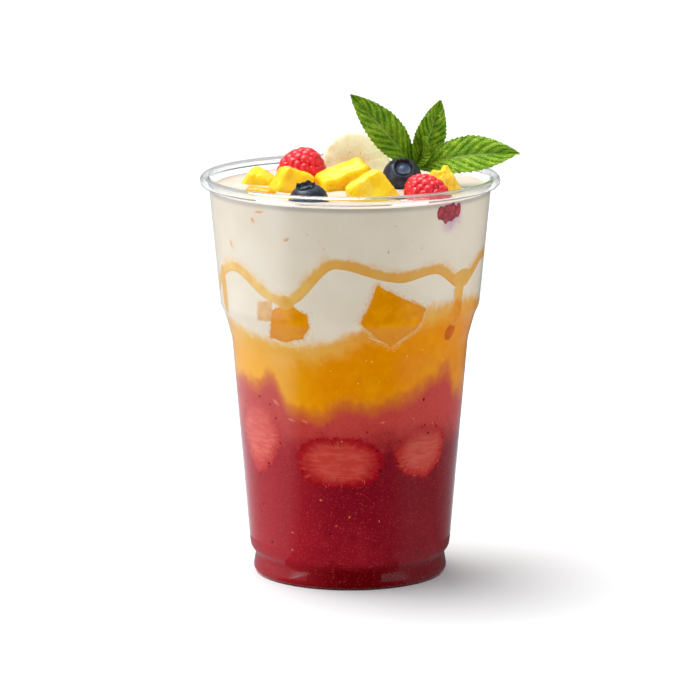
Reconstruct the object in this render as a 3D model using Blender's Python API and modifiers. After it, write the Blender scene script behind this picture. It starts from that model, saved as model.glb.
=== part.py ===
"""A clear plastic dessert cup with berry puree, mango puree and yoghurt in layers, fruit pressed against
its wall, and fruit and a mint sprig on top. Metres, +Z up, the origin on the cup's axis where it stands."""

import math
import random

import bmesh
import bpy
from mathutils import Matrix, Vector

MM = 0.001

# Driving dimensions of the cup, which is formed from one sheet
RIM_RADIUS = 47.5 * MM
LIP_TUBE = 1.6 * MM
LIP_MIDDLE = 126.2 * MM
COLLAR_RADIUS = 44.3 * MM
COLLAR_FOOT = 86.8 * MM
SHOULDER_FOOT = 83.9 * MM
WALL_FOOT = 10.5 * MM
SHEET = 0.6 * MM
PANEL_LIFT = 0.5 * MM

# Driving dimensions of the contents
WALL_GAP = 0.3 * MM
PIECE_CLEAR = 0.15 * MM
LAYER_GAP = 0.4 * MM
POCKET_GAP = 0.4 * MM
CUT_THROUGH = 1.2 * MM
FLOOR = 1.75 * MM
YOGHURT_LEVEL = 123.3 * MM
SWELL = 0.3 * MM
MANGO_MIDDLE = 84 * MM
BERRY_MIDDLE = 61 * MM
RIBBON_HALF = 1.35 * MM
RIBBON_DEPTH = 2.0 * MM

TURN_STEPS = 36
LAYER_STEPS = 48
RIBBON_STEPS = 48
RING_RADIUS = 2
BERRY_STEPS = 16
LOOSE = 1e-5

# Radius and height of the sheet's outer face up the side, from the foot to the collar's top
SIDE = [
    (30.4 * MM, 0),
    (30.9 * MM, 1.7 * MM),
    (30.1 * MM, 6.2 * MM),
    (31.7 * MM, 8.3 * MM),
    (32.05 * MM, WALL_FOOT),
    (37.45 * MM, 75.8 * MM),
    (39.65 * MM, SHOULDER_FOOT),
    (41.05 * MM, COLLAR_FOOT),
    (COLLAR_RADIUS, 121 * MM),
    (COLLAR_RADIUS + 0.3 * MM, 124.3 * MM),
]
FOOT_RING = 28.9 * MM
PANEL_RADIUS = 27.7 * MM
CURL_END = 230
CURL_STEPS = 5

# Crests and troughs round the wall: degrees from the front, positive to the right, and height
BERRY_TURNS = [
    (-150, 63), (-100, 61), (-66, 64.5), (-54, 63.5), (-43, 68), (-31, 57), (-16, 56.3), (-3, 60.4),
    (9, 59.2), (22, 60.6), (55.7, 68.4), (66, 60), (78, 58.4), (120, 64), (165, 59),
]
MANGO_TURNS = [(-120, 88.5), (-25, 79.6), (36, 91.4), (62, 92), (110, 86), (145, 82), (180, 84)]
RIBBON_TURNS = [
    (-160, 94), (-128, 104), (-96, 89.5), (-59, 102.3), (-29.5, 93.6), (-6, 106.4), (22, 101.6),
    (39, 103.4), (55.5, 97.6), (76, 104), (108, 106), (140, 95), (172, 105),
]

# Slices and pieces against the wall: degrees from the front, height, half width, half height, depth, lean
STRAWBERRIES = {
    "strawberry_slice_left": (-55, 49, 10.6, 13.2, 3.2, 8),
    "strawberry_slice_middle": (-6, 42, 13.4, 8, 3.4, 0),
    "strawberry_slice_right": (41, 43.9, 10.2, 8.6, 3.2, -12),
}
RASPBERRY_PIECE = (45.5, 120.9, 4.6, 2.9, 3.6, 0)
DRIP = (55, 90.2, 1.5, 8.2, RIBBON_DEPTH / MM, 1.5)

# Mango cubes against the wall: degrees from the front, height, size across, up and in, lean
WALL_CUBES = {
    "wall_mango_left": (-29, 85.2, (12.5, 9.6, 9), -8),
    "wall_mango_right": (19.5, 89, (15, 11.2, 10), -31),
}

# How far a cube's middle lies inside the wall, as a share of its depth
CUBE_SINK = 0.36

# Mango on top: place, size, turn in degrees, how far its top narrows
MANGO_CHUNKS = {
    "mango_chunk_left": ((-28.8, 7.5, 123.2), (10, 8.5, 8.2), (8, 27, -12), 0.88),
    "mango_chunk_orange": ((-18.3, -4, 124.6), (13, 10, 10), (-12, 27, 14), 0.8),
    "mango_chunk_long": ((-2, -1.5, 126), (17.5, 10.5, 8.5), (16, -20, 12), 0.9),
    "mango_chunk_front": ((6.4, -21, 124.6), (14.2, 11, 12), (-10, -30, 14), 0.9),
    "mango_sliver": ((-28.3, -11, 123.8), (10.5, 5, 2.6), (10, 4, -28), 0.85),
}
CHUNK_ROUND = 1 * MM
CHUNK_UNEVEN = 0.07

# Raspberries: place, radius, half length, turn in degrees
RASPBERRIES = {
    "raspberry_back": ((-15.2, 12.8, 126.4), 7.5, 7.7, (12, 16, 20)),
    "raspberry_front": ((23.9, -21.8, 123.7), 6.6, 7.6, (-20, -38, 10)),
}
KNOB = 0.55 * MM

# Blueberries: place, radius, turn in degrees
BLUEBERRIES = {
    "blueberry_front": ((-12.8, -29, 123.4), 6.3, (10, -10, 0)),
    "blueberry_back": ((16.4, -1.4, 127.1), 6.2, (46, 6, 0)),
}

# A pineapple wedge: place, size, turn in degrees
PINEAPPLE_AT = (28.6, -6.2, 123.6)
PINEAPPLE_SIZE = (13, 9.5, 12)
PINEAPPLE_TURN = (-8, -20, 14)
FIBRE_DEPTH = 0.5 * MM

# A banana slice standing on its edge: place, and turn in degrees
BANANA_AT = (1.6, 24, 126)
BANANA_RADIUS = 11 * MM
BANANA_THICK = 7.5 * MM
BANANA_TURN = (66, 0, 4)
BANANA_ROUND = 0.9 * MM
BANANA_SWELL = 0.02

# The mint's stem, and the sheet that its leaves are cut from
STEM_FOOT = Vector((20.4, 9.4, 118.5)) * MM
STEM_TOP = Vector((20.4, 9.2, 128.6)) * MM
STEM_RADIUS = 1.2 * MM
LEAF_THICK = 0.7 * MM
LEAF_STALK = 0.45 * MM
LEAF_POINT = 0.985
LEAF_ROUND = 0.85
LEAF_FOLD = 0.16
LEAF_WAVE = 0.35 * MM
TOOTH = 0.09
# Mint leaves: tip, which way the upper face looks, half width, bow along the leaf
LEAVES = [
    ((0, 5, 152.3), (0.25, -0.85, 0.3), 6, 1.6),
    ((28.4, 13, 149.6), (0.5, -0.8, 0.2), 5.2, 1.8),
    ((24, 3.5, 139.3), (-0.3, -0.6, 0.7), 3.9, -1.6),
    ((53.8, 6, 133.3), (-0.1, -0.8, 0.62), 6.4, 3),
]


def fresh_scene():
    """Clears the scene and gives the collections for the parts and for what cuts them."""
    for obj in list(bpy.data.objects):
        bpy.data.objects.remove(obj)
    parts = bpy.data.collections.new("dessert_cup")
    bpy.context.scene.collection.children.link(parts)
    guides = {}
    for name in ("guides", "berry_pockets", "mango_pockets", "yoghurt_pockets"):
        guides[name] = bpy.data.collections.new(name)
        bpy.context.scene.collection.children.link(guides[name])
    return parts, guides


PARTS, GUIDES = fresh_scene()


def material(name, colour, roughness, transmission=0.0):
    made = bpy.data.materials.new(name)
    made.use_nodes = True
    shader = made.node_tree.nodes["Principled BSDF"]
    shader.inputs["Base Color"].default_value = (*colour, 1)
    shader.inputs["Roughness"].default_value = roughness
    shader.inputs["Metallic"].default_value = 0
    shader.inputs["Transmission Weight"].default_value = transmission
    return made


def placed(obj, at=(0, 0, 0), turn=(0, 0, 0)):
    """Puts an object at a place in millimetres, turned by degrees."""
    obj.location = Vector(at) * MM
    obj.rotation_euler = [math.radians(angle) for angle in turn]
    return obj


def part(name, mesh, finish, smooth=40):
    obj = bpy.data.objects.new(name, mesh)
    obj.data.materials.append(finish)
    obj.data.shade_smooth()
    obj.data.set_sharp_from_angle(angle=math.radians(smooth))
    PARTS.objects.link(obj)
    return obj


def guide(name, mesh, group="guides"):
    """A shape that cuts or trims a part and isn't one itself."""
    obj = bpy.data.objects.new(name, mesh)
    obj.hide_render = True
    obj.display_type = "WIRE"
    GUIDES[group].objects.link(obj)
    return obj


def mesh_from(bm, name):
    mesh = bpy.data.meshes.new(name)
    bm.to_mesh(mesh)
    bm.free()
    return mesh


def turn_on_axis(obj, steps):
    screw = obj.modifiers.new("Turn", "SCREW")
    screw.steps = screw.render_steps = steps
    screw.use_merge_vertices = True
    screw.merge_threshold = LOOSE


def line_mesh(name, outline):
    """A mesh of edges through (radius, height) points."""
    mesh = bpy.data.meshes.new(name)
    edges = [(i, i + 1) for i in range(len(outline) - 1)]
    mesh.from_pydata([(radius, 0, height) for radius, height in outline], edges, [])
    return mesh


def turned_mesh(name, outline, steps):
    """The mesh of an outline turned round the axis. It runs from the axis, down the outside, to the axis."""
    obj = bpy.data.objects.new(name, line_mesh(name, outline))
    bpy.context.scene.collection.objects.link(obj)
    turn_on_axis(obj, steps)
    mesh = as_seen(obj, name)
    bpy.data.objects.remove(obj)
    return mesh


def as_seen(obj, name):
    """A plain mesh of an object with its modifiers, named for the part it becomes."""
    bpy.context.view_layer.update()
    graph = bpy.context.evaluated_depsgraph_get()
    mesh = bpy.data.meshes.new_from_object(obj.evaluated_get(graph))
    mesh.name = name
    return mesh


def fused(name, meshes, finish):
    """One part from several overlapping meshes."""
    group = bpy.data.collections.new(name + "_pieces")
    bpy.context.scene.collection.children.link(group)
    first = bpy.data.objects.new(name + "_first", meshes[0])
    bpy.context.scene.collection.objects.link(first)
    for mesh in meshes[1:]:
        group.objects.link(bpy.data.objects.new(mesh.name, mesh))
    join = first.modifiers.new("Join", "BOOLEAN")
    join.operation = "UNION"
    join.operand_type = "COLLECTION"
    join.collection = group
    mesh = as_seen(first, name)
    for obj in [first, *group.objects]:
        bpy.data.objects.remove(obj)
    bpy.data.collections.remove(group)
    mesh.materials.clear()
    return part(name, mesh, finish)


def trim(obj, operation, other=None, group=None):
    """Trims an object by another, or by a whole collection."""
    boolean = obj.modifiers.new(operation.title(), "BOOLEAN")
    boolean.operation = operation
    boolean.solver = "MANIFOLD"
    if group:
        boolean.operand_type = "COLLECTION"
        boolean.collection = GUIDES[group]
    else:
        boolean.object = other


def inset(line, distance):
    """An upward line moved towards the axis by a distance, with its corners kept."""
    moved = []
    for i, point in enumerate(line):
        below = line[max(i - 1, 0)]
        above = line[min(i + 1, len(line) - 1)]
        before = (point - below).normalized() if i else (above - point).normalized()
        after = (above - point).normalized() if i + 1 < len(line) else before
        along = (before + after).normalized()
        reach = distance / after.dot(along)
        moved.append(point + Vector((-along.y, along.x)) * reach)
    return moved


LIP_CENTRE = Vector((RIM_RADIUS - LIP_TUBE, LIP_MIDDLE))
OUTER_LINE = [Vector(point) for point in SIDE]
MIDDLE_LINE = inset(OUTER_LINE, SHEET / 2)
MIDDLE_LINE[0].y = SHEET / 2
LIP_START = LIP_CENTRE - Vector((LIP_TUBE - SHEET / 2, 0))
WALL_LINE = inset(MIDDLE_LINE[1:] + [LIP_START], SHEET / 2 + WALL_GAP)


def wall(height):
    """Radius of the contents, just inside the cup's wall, at a height."""
    low = WALL_LINE[0]
    for high in WALL_LINE[1:]:
        if height < high.y:
            break
        low = high
    share = min(max((height - low.y) / (high.y - low.y), 0), 1) if high is not low else 1
    return low.x + (high.x - low.x) * share


def angle_of(x, y):
    """Degrees round the cup from its front, which faces -Y, positive to the right."""
    return math.degrees(math.atan2(x, -y))


def on_wall(angle, height, proud=0.0):
    radius = wall(height) + proud
    turn = math.radians(angle)
    return Vector((radius * math.sin(turn), -radius * math.cos(turn), height))


def round_wave(angle, turns):
    """Height at an angle on a line that eases from each crest or trough to the next."""
    for i, (start, low) in enumerate(turns):
        end, high = turns[(i + 1) % len(turns)]
        span = (end - start) % 360
        along = (angle - start) % 360
        if along <= span:
            share = along / span
            return (low + (high - low) * share * share * (3 - 2 * share)) * MM
    return turns[0][1] * MM


def boundary(turns, middle):
    """The surface between two layers: a wave at the wall that evens out to the middle."""

    def height(x, y):
        share = min(math.hypot(x, y) / SLAB_RINGS[-2], 1) ** 2
        return middle + (round_wave(angle_of(x, y), turns) - middle) * share

    return height


def yoghurt_top(x, y):
    """The spooned yoghurt's surface, nearly level."""
    return YOGHURT_LEVEL + SWELL * math.sin(x / (9 * MM)) * math.cos(y / (11 * MM) + 0.6)


SLAB_RINGS = [0, 18 * MM, 33 * MM, 50 * MM]
TOP_RINGS = [0, 12 * MM, 24 * MM, 36 * MM, 50 * MM]
GROUND = -5 * MM
BERRY_TOP = boundary(BERRY_TURNS, BERRY_MIDDLE)
MANGO_TOP = boundary(MANGO_TURNS, MANGO_MIDDLE)


def slab_mesh(name, lower, upper, lower_rings, upper_rings):
    """A disc wider than the cup between two surfaces, each given as a function of place."""
    outline = [(radius, 1) for radius in upper_rings] + [(radius, 0) for radius in reversed(lower_rings)]
    mesh = turned_mesh(name, outline, LAYER_STEPS)
    for point in mesh.vertices:
        surface = upper if point.co.z > 0.5 else lower
        point.co.z = surface(point.co.x, point.co.y)
    bm = bmesh.new()
    bm.from_mesh(mesh)
    bmesh.ops.triangulate(bm, faces=bm.faces[:], quad_method="SHORT_EDGE")
    bm.to_mesh(mesh)
    bm.free()
    return mesh


def layer(name, lower, upper, finish, pockets, upper_rings):
    lower_rings = SLAB_RINGS if lower else [0, SLAB_RINGS[-1]]
    above_lower = (lambda x, y: lower(x, y) + LAYER_GAP) if lower else (lambda x, y: GROUND)
    obj = part(name, slab_mesh(name, above_lower, upper, lower_rings, upper_rings), finish)
    trim(obj, "INTERSECT", other=FILL)
    trim(obj, "DIFFERENCE", group=pockets)
    return obj


def cup(finish):
    """The formed sheet: base panel, foot, tapering side, collar and curled lip."""
    curl_radius = LIP_TUBE - SHEET / 2
    curl = []
    for i in range(CURL_STEPS + 1):
        angle = math.radians(180 - CURL_END * i / CURL_STEPS)
        curl.append(LIP_CENTRE + curl_radius * Vector((math.cos(angle), math.sin(angle))))
    base = [Vector((0, PANEL_LIFT + SHEET / 2)), Vector((PANEL_RADIUS, PANEL_LIFT + SHEET / 2))]
    base.append(Vector((FOOT_RING, SHEET / 2)))
    outline = (base + MIDDLE_LINE + curl)[::-1]
    obj = part("cup", line_mesh("cup", outline), finish)
    turn_on_axis(obj, TURN_STEPS)
    shell = obj.modifiers.new("Sheet", "SOLIDIFY")
    shell.thickness = SHEET
    shell.offset = 0
    shell.use_even_offset = True
    return obj


def fill():
    """Everything inside the wall, a gap clear of it."""
    up_the_wall = [point for point in WALL_LINE if point.y > FLOOR]
    outline = [Vector((0, LIP_MIDDLE)), *up_the_wall[::-1]]
    outline += [Vector((wall(FLOOR), FLOOR)), Vector((0, FLOOR))]
    return guide("fill", turned_mesh("fill", outline, LAYER_STEPS))


def past_wall(grow):
    """How far a pocket's cutter stands out through the wall. A part stays inside it."""
    return CUT_THROUGH if grow else 0


def pebble_mesh(name, angle, height, half_width, half_height, depth, lean, grow=0.0):
    """A flat-faced pebble lying against the inside of the wall. Grown, it also reaches through the wall."""
    bm = bmesh.new()
    bmesh.ops.create_uvsphere(bm, u_segments=18, v_segments=6, radius=1)
    slope = math.radians(lean)
    for point in bm.verts:
        across = point.co.x * (half_width * MM + grow)
        up = point.co.y * (half_height * MM + grow)
        across, up = (
            across * math.cos(slope) + up * math.sin(slope),
            up * math.cos(slope) - across * math.sin(slope),
        )
        level = height * MM + up
        turn = angle + math.degrees(across / wall(level))
        inward = (depth * MM + grow) * max(-point.co.z, 0) ** 0.7
        outward = past_wall(grow) * max(point.co.z, 0)
        point.co = on_wall(turn, level, outward - inward - PIECE_CLEAR)
    return mesh_from(bm, name)


def ribbon_mesh(name, grow=0.0):
    """The mango sauce line round the wall, flat where it touches the wall and rounded inwards."""
    bpy.ops.mesh.primitive_torus_add(
        major_segments=RIBBON_STEPS, minor_segments=6, major_radius=RING_RADIUS, minor_radius=1
    )
    ring = bpy.context.object
    mesh = ring.data
    mesh.name = name
    bpy.data.objects.remove(ring)
    for point in mesh.vertices:
        angle = angle_of(point.co.x, point.co.y)
        inner = math.hypot(point.co.x, point.co.y) - RING_RADIUS
        ahead, behind = round_wave(angle + 1, RIBBON_TURNS), round_wave(angle - 1, RIBBON_TURNS)
        slope = (ahead - behind) / (2 * math.radians(1) * COLLAR_RADIUS)
        half = (RIBBON_HALF + grow) * math.sqrt(1 + slope * slope)
        height = round_wave(angle, RIBBON_TURNS) + point.co.z * half
        inward = (RIBBON_DEPTH + grow) * max(-inner, 0)
        outward = past_wall(grow) * max(inner, 0)
        point.co = on_wall(angle, height, outward - inward - PIECE_CLEAR)
    return mesh


def chunk_mesh(name, size, seed, narrow=1.0, grow=0.0):
    """A knife-cut chunk of fruit, uneven and with softened edges."""
    bm = bmesh.new()
    bmesh.ops.create_cube(bm, size=1)
    draw = random.Random(seed)
    for point in bm.verts:
        narrowing = narrow if point.co.z > 0 else 1
        for axis in range(3):
            stretch = 1 + draw.uniform(-CHUNK_UNEVEN, CHUNK_UNEVEN)
            side = size[axis] * MM * stretch * (narrowing if axis < 2 else 1) + 2 * grow
            point.co[axis] *= side
    rounding = min(CHUNK_ROUND, 0.3 * min(size) * MM) - 0.7 * grow
    bmesh.ops.bevel(bm, geom=bm.edges[:], offset=rounding, segments=1, affect="EDGES")
    return mesh_from(bm, name)


def raspberry_mesh(name, radius, half_length, knobs):
    """A raspberry: rows of staggered drupelets on a body that narrows to its tip."""
    bm = bmesh.new()
    around, rows = 18, 12
    bmesh.ops.create_uvsphere(bm, u_segments=around, v_segments=rows, radius=1)
    for point in bm.verts:
        row = round(math.acos(max(-1, min(1, point.co.z))) / math.pi * rows)
        column = round(math.atan2(point.co.y, point.co.x) / (2 * math.pi) * around)
        lift = knobs if (row + column) % 2 == 0 and 0 < row < rows else 0
        taper = 1 - 0.14 * max(point.co.z, 0)
        out = point.co.normalized()
        point.co.x *= radius * taper
        point.co.y *= radius * taper
        point.co.z *= half_length
        point.co += out * lift
    return mesh_from(bm, name)


def ball_mesh(name, radius, half_length):
    """A plain ball, a little over a berry's size, that presses its pocket."""
    bm = bmesh.new()
    bmesh.ops.create_uvsphere(bm, u_segments=12, v_segments=6, radius=1.06)
    bmesh.ops.scale(bm, vec=(radius, radius, half_length), verts=bm.verts[:])
    return mesh_from(bm, name)


def blueberry_mesh(name, radius):
    """A blueberry: a flattened ball with a five-pointed crown round a dimple."""
    ball = []
    for latitude in range(58, -90, -21):
        slope = math.radians(latitude)
        ball.append((radius * math.cos(slope), 0.93 * radius * math.sin(slope)))
    crown = [(0, 0.74 * radius), (0.28 * radius, 0.76 * radius), (0.44 * radius, 0.93 * radius)]
    mesh = turned_mesh(name, crown + ball + [(0, -0.93 * radius)], BERRY_STEPS)
    for point in mesh.vertices:
        if point.co.z > 0.9 * radius:
            lobe = math.cos(5 * math.atan2(point.co.y, point.co.x))
            point.co.z += 0.06 * radius * lobe
    return mesh


def pineapple_mesh(name, size, grow=0.0):
    """A wedge of pineapple, its faces ridged by the fibres and its top stepped."""
    bm = bmesh.new()
    bmesh.ops.create_cube(bm, size=1)
    bmesh.ops.subdivide_edges(bm, edges=bm.edges[:], cuts=3, use_grid_fill=True)
    for point in bm.verts:
        x, y, z = point.co
        narrowing = 1 - 0.36 * (z + 0.5)
        ridge = math.sin(24 * x + 9 * z) * (FIBRE_DEPTH if not grow else 0)
        step = 0.06 * math.cos(12 * math.pi * x) if z > 0.49 else 0
        point.co.x = x * narrowing * (size[0] * MM + 2 * grow)
        point.co.y = y * narrowing * (size[1] * MM + 2 * grow) + ridge * (1 if y > 0 else -1)
        point.co.z = (z + step) * (size[2] * MM + 2 * grow)
    return mesh_from(bm, name)


def banana_mesh(name, radius, thick):
    """A thick slice of peeled banana, faintly three-sided, with rounded edges."""
    bm = bmesh.new()
    bmesh.ops.create_cone(bm, cap_ends=True, segments=24, radius1=radius, radius2=radius, depth=thick)
    rims = [edge for edge in bm.edges if abs(edge.verts[0].co.z - edge.verts[1].co.z) < LOOSE]
    bmesh.ops.bevel(bm, geom=rims, offset=BANANA_ROUND, segments=2, profile=0.5, affect="EDGES")
    for point in bm.verts:
        round_it = math.atan2(point.co.y, point.co.x)
        swell = 1 + BANANA_SWELL * math.cos(3 * round_it + 0.5)
        point.co.x *= swell
        point.co.y *= swell
    return mesh_from(bm, name)


def leaf_mesh(name, tip, facing, half_width, bow):
    """A toothed mint leaf from the stem's top to its tip, as a thin sheet that is folded, bowed and wavy."""
    columns, rows = 13, 4
    bm = bmesh.new()
    bmesh.ops.create_grid(bm, x_segments=columns, y_segments=rows, size=0.5)
    length = (tip - STEM_TOP).length
    along = (tip - STEM_TOP).normalized()
    across = Vector(facing).cross(along).normalized()
    up = along.cross(across)
    for point in bm.verts:
        share = point.co.x + 0.5
        side = 2 * point.co.y
        column = round(share * columns)
        tooth = 1 + TOOTH * (column % 2) * (abs(side) > 0.99)
        swell = math.sin(math.pi * min(share, LEAF_POINT)) ** LEAF_ROUND
        width = half_width * MM * swell * tooth + LEAF_STALK * (1 - share)
        fold = LEAF_FOLD * half_width * MM * abs(side)
        bend = -bow * MM * math.sin(math.pi * share) * (1 if bow > 0 else 1.4)
        wave = LEAF_WAVE * math.sin(9 * share + 2 * side) * abs(side)
        point.co = STEM_TOP + along * share * length + across * side * width + up * (fold - bend + wave)
    bmesh.ops.triangulate(bm, faces=bm.faces[:])
    mesh = bpy.data.meshes.new(name)
    bm.to_mesh(mesh)
    bm.free()
    sheet = bpy.data.objects.new(name, mesh)
    bpy.context.scene.collection.objects.link(sheet)
    shell = sheet.modifiers.new("Thick", "SOLIDIFY")
    shell.thickness = LEAF_THICK
    shell.offset = 0
    solid = as_seen(sheet, name)
    bpy.data.objects.remove(sheet)
    return solid


def rod_mesh(name, foot, top, radius, sides=10):
    """A round rod from foot to top."""
    bm = bmesh.new()
    length = (top - foot).length
    bmesh.ops.create_cone(bm, cap_ends=True, segments=sides, radius1=radius, radius2=radius, depth=length)
    turn = (top - foot).to_track_quat("Z", "Y").to_matrix().to_4x4()
    bmesh.ops.transform(bm, matrix=Matrix.Translation((foot + top) / 2) @ turn, verts=bm.verts[:])
    return mesh_from(bm, name)


def cube_on_wall(name, angle, height, size, lean, seed, grow=0.0):
    """A mango chunk's mesh turned to lie against the wall."""
    mesh = chunk_mesh(name, size, seed, 0.92, grow)
    stand = Matrix.Rotation(math.radians(90), 4, "X")
    roll = Matrix.Rotation(math.radians(-lean), 4, "Y")
    turn = Matrix.Rotation(math.radians(angle), 4, "Z")
    centre = on_wall(angle, height * MM, -CUBE_SINK * size[2] * MM)
    mesh.transform(Matrix.Translation(centre) @ turn @ roll @ stand)
    return mesh


def wall_fruit(strawberry, mango, raspberry, sauce):
    """The fruit and the sauce that show through the wall, and the pockets they leave in the layers."""
    for name, slice_of in STRAWBERRIES.items():
        part(name, pebble_mesh(name, *slice_of), strawberry)
        guide(name + "_pocket", pebble_mesh(name, *slice_of, grow=POCKET_GAP), "berry_pockets")
    part("raspberry_piece", pebble_mesh("raspberry_piece", *RASPBERRY_PIECE), raspberry)
    pocket = pebble_mesh("pocket", *RASPBERRY_PIECE, grow=POCKET_GAP)
    guide("raspberry_piece_pocket", pocket, "yoghurt_pockets")
    for seed, (name, (angle, height, size, lean)) in enumerate(WALL_CUBES.items()):
        cube = part(name, cube_on_wall(name, angle, height, size, lean, seed), mango)
        trim(cube, "INTERSECT", other=FILL)
        for group in ("mango_pockets", "yoghurt_pockets"):
            guide(f"{name}_{group}", cube_on_wall(name, angle, height, size, lean, seed, POCKET_GAP), group)
    fused("mango_ribbon", [ribbon_mesh("ribbon"), pebble_mesh("drip", *DRIP)], sauce)
    for group in ("mango_pockets", "yoghurt_pockets"):
        guide(f"drip_{group}", pebble_mesh("drip", *DRIP, grow=POCKET_GAP), group)
        guide(f"ribbon_{group}", ribbon_mesh("ribbon", POCKET_GAP), group)


def topping(name, mesh, finish, at, turn, pocket):
    """A piece on top and the pocket that it sinks into."""
    placed(part(name, mesh, finish), at, turn)
    placed(guide(name + "_pocket", pocket, "yoghurt_pockets"), at, turn)


def toppings(mango, raspberry, blueberry, pineapple, banana, mint):
    for seed, (name, (at, size, turn, narrow)) in enumerate(MANGO_CHUNKS.items()):
        pocket = chunk_mesh(name, size, seed, narrow, POCKET_GAP)
        topping(name, chunk_mesh(name, size, seed, narrow), mango, at, turn, pocket)
    for name, (at, radius, half_length, turn) in RASPBERRIES.items():
        body = raspberry_mesh(name, radius * MM, half_length * MM, KNOB)
        pocket = ball_mesh(name, radius * MM + KNOB + POCKET_GAP, half_length * MM + KNOB + POCKET_GAP)
        topping(name, body, raspberry, at, turn, pocket)
    for name, (at, radius, turn) in BLUEBERRIES.items():
        pocket = ball_mesh(name, radius * MM + POCKET_GAP, radius * MM + POCKET_GAP)
        topping(name, blueberry_mesh(name, radius * MM), blueberry, at, turn, pocket)
    body = pineapple_mesh("pineapple_chunk", PINEAPPLE_SIZE)
    pocket = pineapple_mesh("pocket", PINEAPPLE_SIZE, POCKET_GAP + FIBRE_DEPTH)
    topping("pineapple_chunk", body, pineapple, PINEAPPLE_AT, PINEAPPLE_TURN, pocket)
    body = banana_mesh("banana_slice", BANANA_RADIUS, BANANA_THICK)
    banana_half = Vector((0, 0, BANANA_THICK / 2 + POCKET_GAP))
    edge = 1.5 * BANANA_SWELL * BANANA_RADIUS + POCKET_GAP
    pocket = rod_mesh("pocket", -banana_half, banana_half, BANANA_RADIUS + edge, 24)
    topping("banana_slice", body, banana, BANANA_AT, BANANA_TURN, pocket)
    leaves = [leaf_mesh(f"leaf_{i}", Vector(tip) * MM, *shape) for i, (tip, *shape) in enumerate(LEAVES)]
    stem = rod_mesh("stem", STEM_FOOT, STEM_TOP + Vector((0, 0, 0.6 * MM)), STEM_RADIUS)
    fused("mint_sprig", [stem, *leaves], mint)
    below = STEM_FOOT - Vector((0, 0, POCKET_GAP))
    pocket = rod_mesh("pocket", below, STEM_TOP, STEM_RADIUS + POCKET_GAP)
    guide("stem_pocket", pocket, "yoghurt_pockets")


clear = material("clear_plastic", (0.9, 0.92, 0.93), 0.05, 0.9)
berry = material("berry_puree", (0.4, 0.02, 0.03), 0.35)
mango = material("mango_puree", (0.85, 0.36, 0.03), 0.35)
yoghurt = material("yoghurt", (0.88, 0.84, 0.78), 0.4)
sauce = material("mango_sauce", (0.8, 0.45, 0.12), 0.3)
strawberry = material("strawberry", (0.65, 0.06, 0.05), 0.4)
raspberry = material("raspberry", (0.65, 0.01, 0.03), 0.35)
mango_flesh = material("mango_flesh", (0.85, 0.45, 0.02), 0.35)
pineapple = material("pineapple", (0.85, 0.55, 0.04), 0.4)
blueberry = material("blueberry", (0.02, 0.03, 0.09), 0.45)
banana = material("banana", (0.85, 0.7, 0.42), 0.5)
mint = material("mint", (0.07, 0.2, 0.01), 0.4)

FILL = fill()
cup(clear)
wall_fruit(strawberry, mango_flesh, raspberry, sauce)
toppings(mango_flesh, raspberry, blueberry, pineapple, banana, mint)
layer("berry_puree", None, BERRY_TOP, berry, "berry_pockets", SLAB_RINGS)
layer("mango_puree", BERRY_TOP, MANGO_TOP, mango, "mango_pockets", SLAB_RINGS)
layer("yoghurt", MANGO_TOP, yoghurt_top, yoghurt, "yoghurt_pockets", TOP_RINGS)
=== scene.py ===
import math
import random

import bmesh
import bpy
from mathutils import Euler, Matrix, Vector, noise


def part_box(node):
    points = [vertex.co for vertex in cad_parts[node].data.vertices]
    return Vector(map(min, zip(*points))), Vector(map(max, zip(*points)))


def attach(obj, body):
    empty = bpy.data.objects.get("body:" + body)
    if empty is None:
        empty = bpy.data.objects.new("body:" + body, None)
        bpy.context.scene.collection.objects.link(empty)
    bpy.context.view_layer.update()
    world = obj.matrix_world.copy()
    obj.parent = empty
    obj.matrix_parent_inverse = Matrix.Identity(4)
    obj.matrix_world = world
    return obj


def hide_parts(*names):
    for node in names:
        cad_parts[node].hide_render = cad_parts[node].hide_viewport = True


# A clear plastic dessert cup with its layers, the fruit against its wall and the fruit and mint on top.
# Lengths are in millimetres, and a mesh turns them into metres. The front looks along -Y.

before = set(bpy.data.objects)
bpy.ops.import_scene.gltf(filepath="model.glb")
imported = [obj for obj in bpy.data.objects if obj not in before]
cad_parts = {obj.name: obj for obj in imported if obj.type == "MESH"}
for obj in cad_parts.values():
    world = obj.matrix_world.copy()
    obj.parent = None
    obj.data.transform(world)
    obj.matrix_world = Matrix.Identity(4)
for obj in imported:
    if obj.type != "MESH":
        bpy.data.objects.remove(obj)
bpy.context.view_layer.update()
MM = 0.001

# The cup's formed sheet: radius and height of its outer face up the side, and the round of each corner
SHEET = 0.6
SIDE = [
    (30.4, 0, 0.5), (30.9, 1.7, 0.8), (30.1, 6.2, 1.2), (31.7, 8.3, 0.8), (32.05, 10.5, 0.8),
    (37.45, 75.8, 1.8), (39.65, 83.9, 1.2), (41.05, 86.8, 1.2), (44.3, 121, 2), (44.6, 124.3, 1),
]
BASE = [(0, 0.8), (27.7, 0.8), (28.9, SHEET / 2)]
LIP_CENTRE = Vector((45.9, 126.2))
LIP_RADIUS = 1.6 - SHEET / 2
LIP_TURN = 232
CUP_STEPS = 192

# How far the contents reach into the wall, and how much further the fruit on the wall does
REACH = 0.1
FRUIT_PROUD = 0.05
LAYER_STEPS = 360
YOGHURT_LEVEL = 123.3

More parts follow.
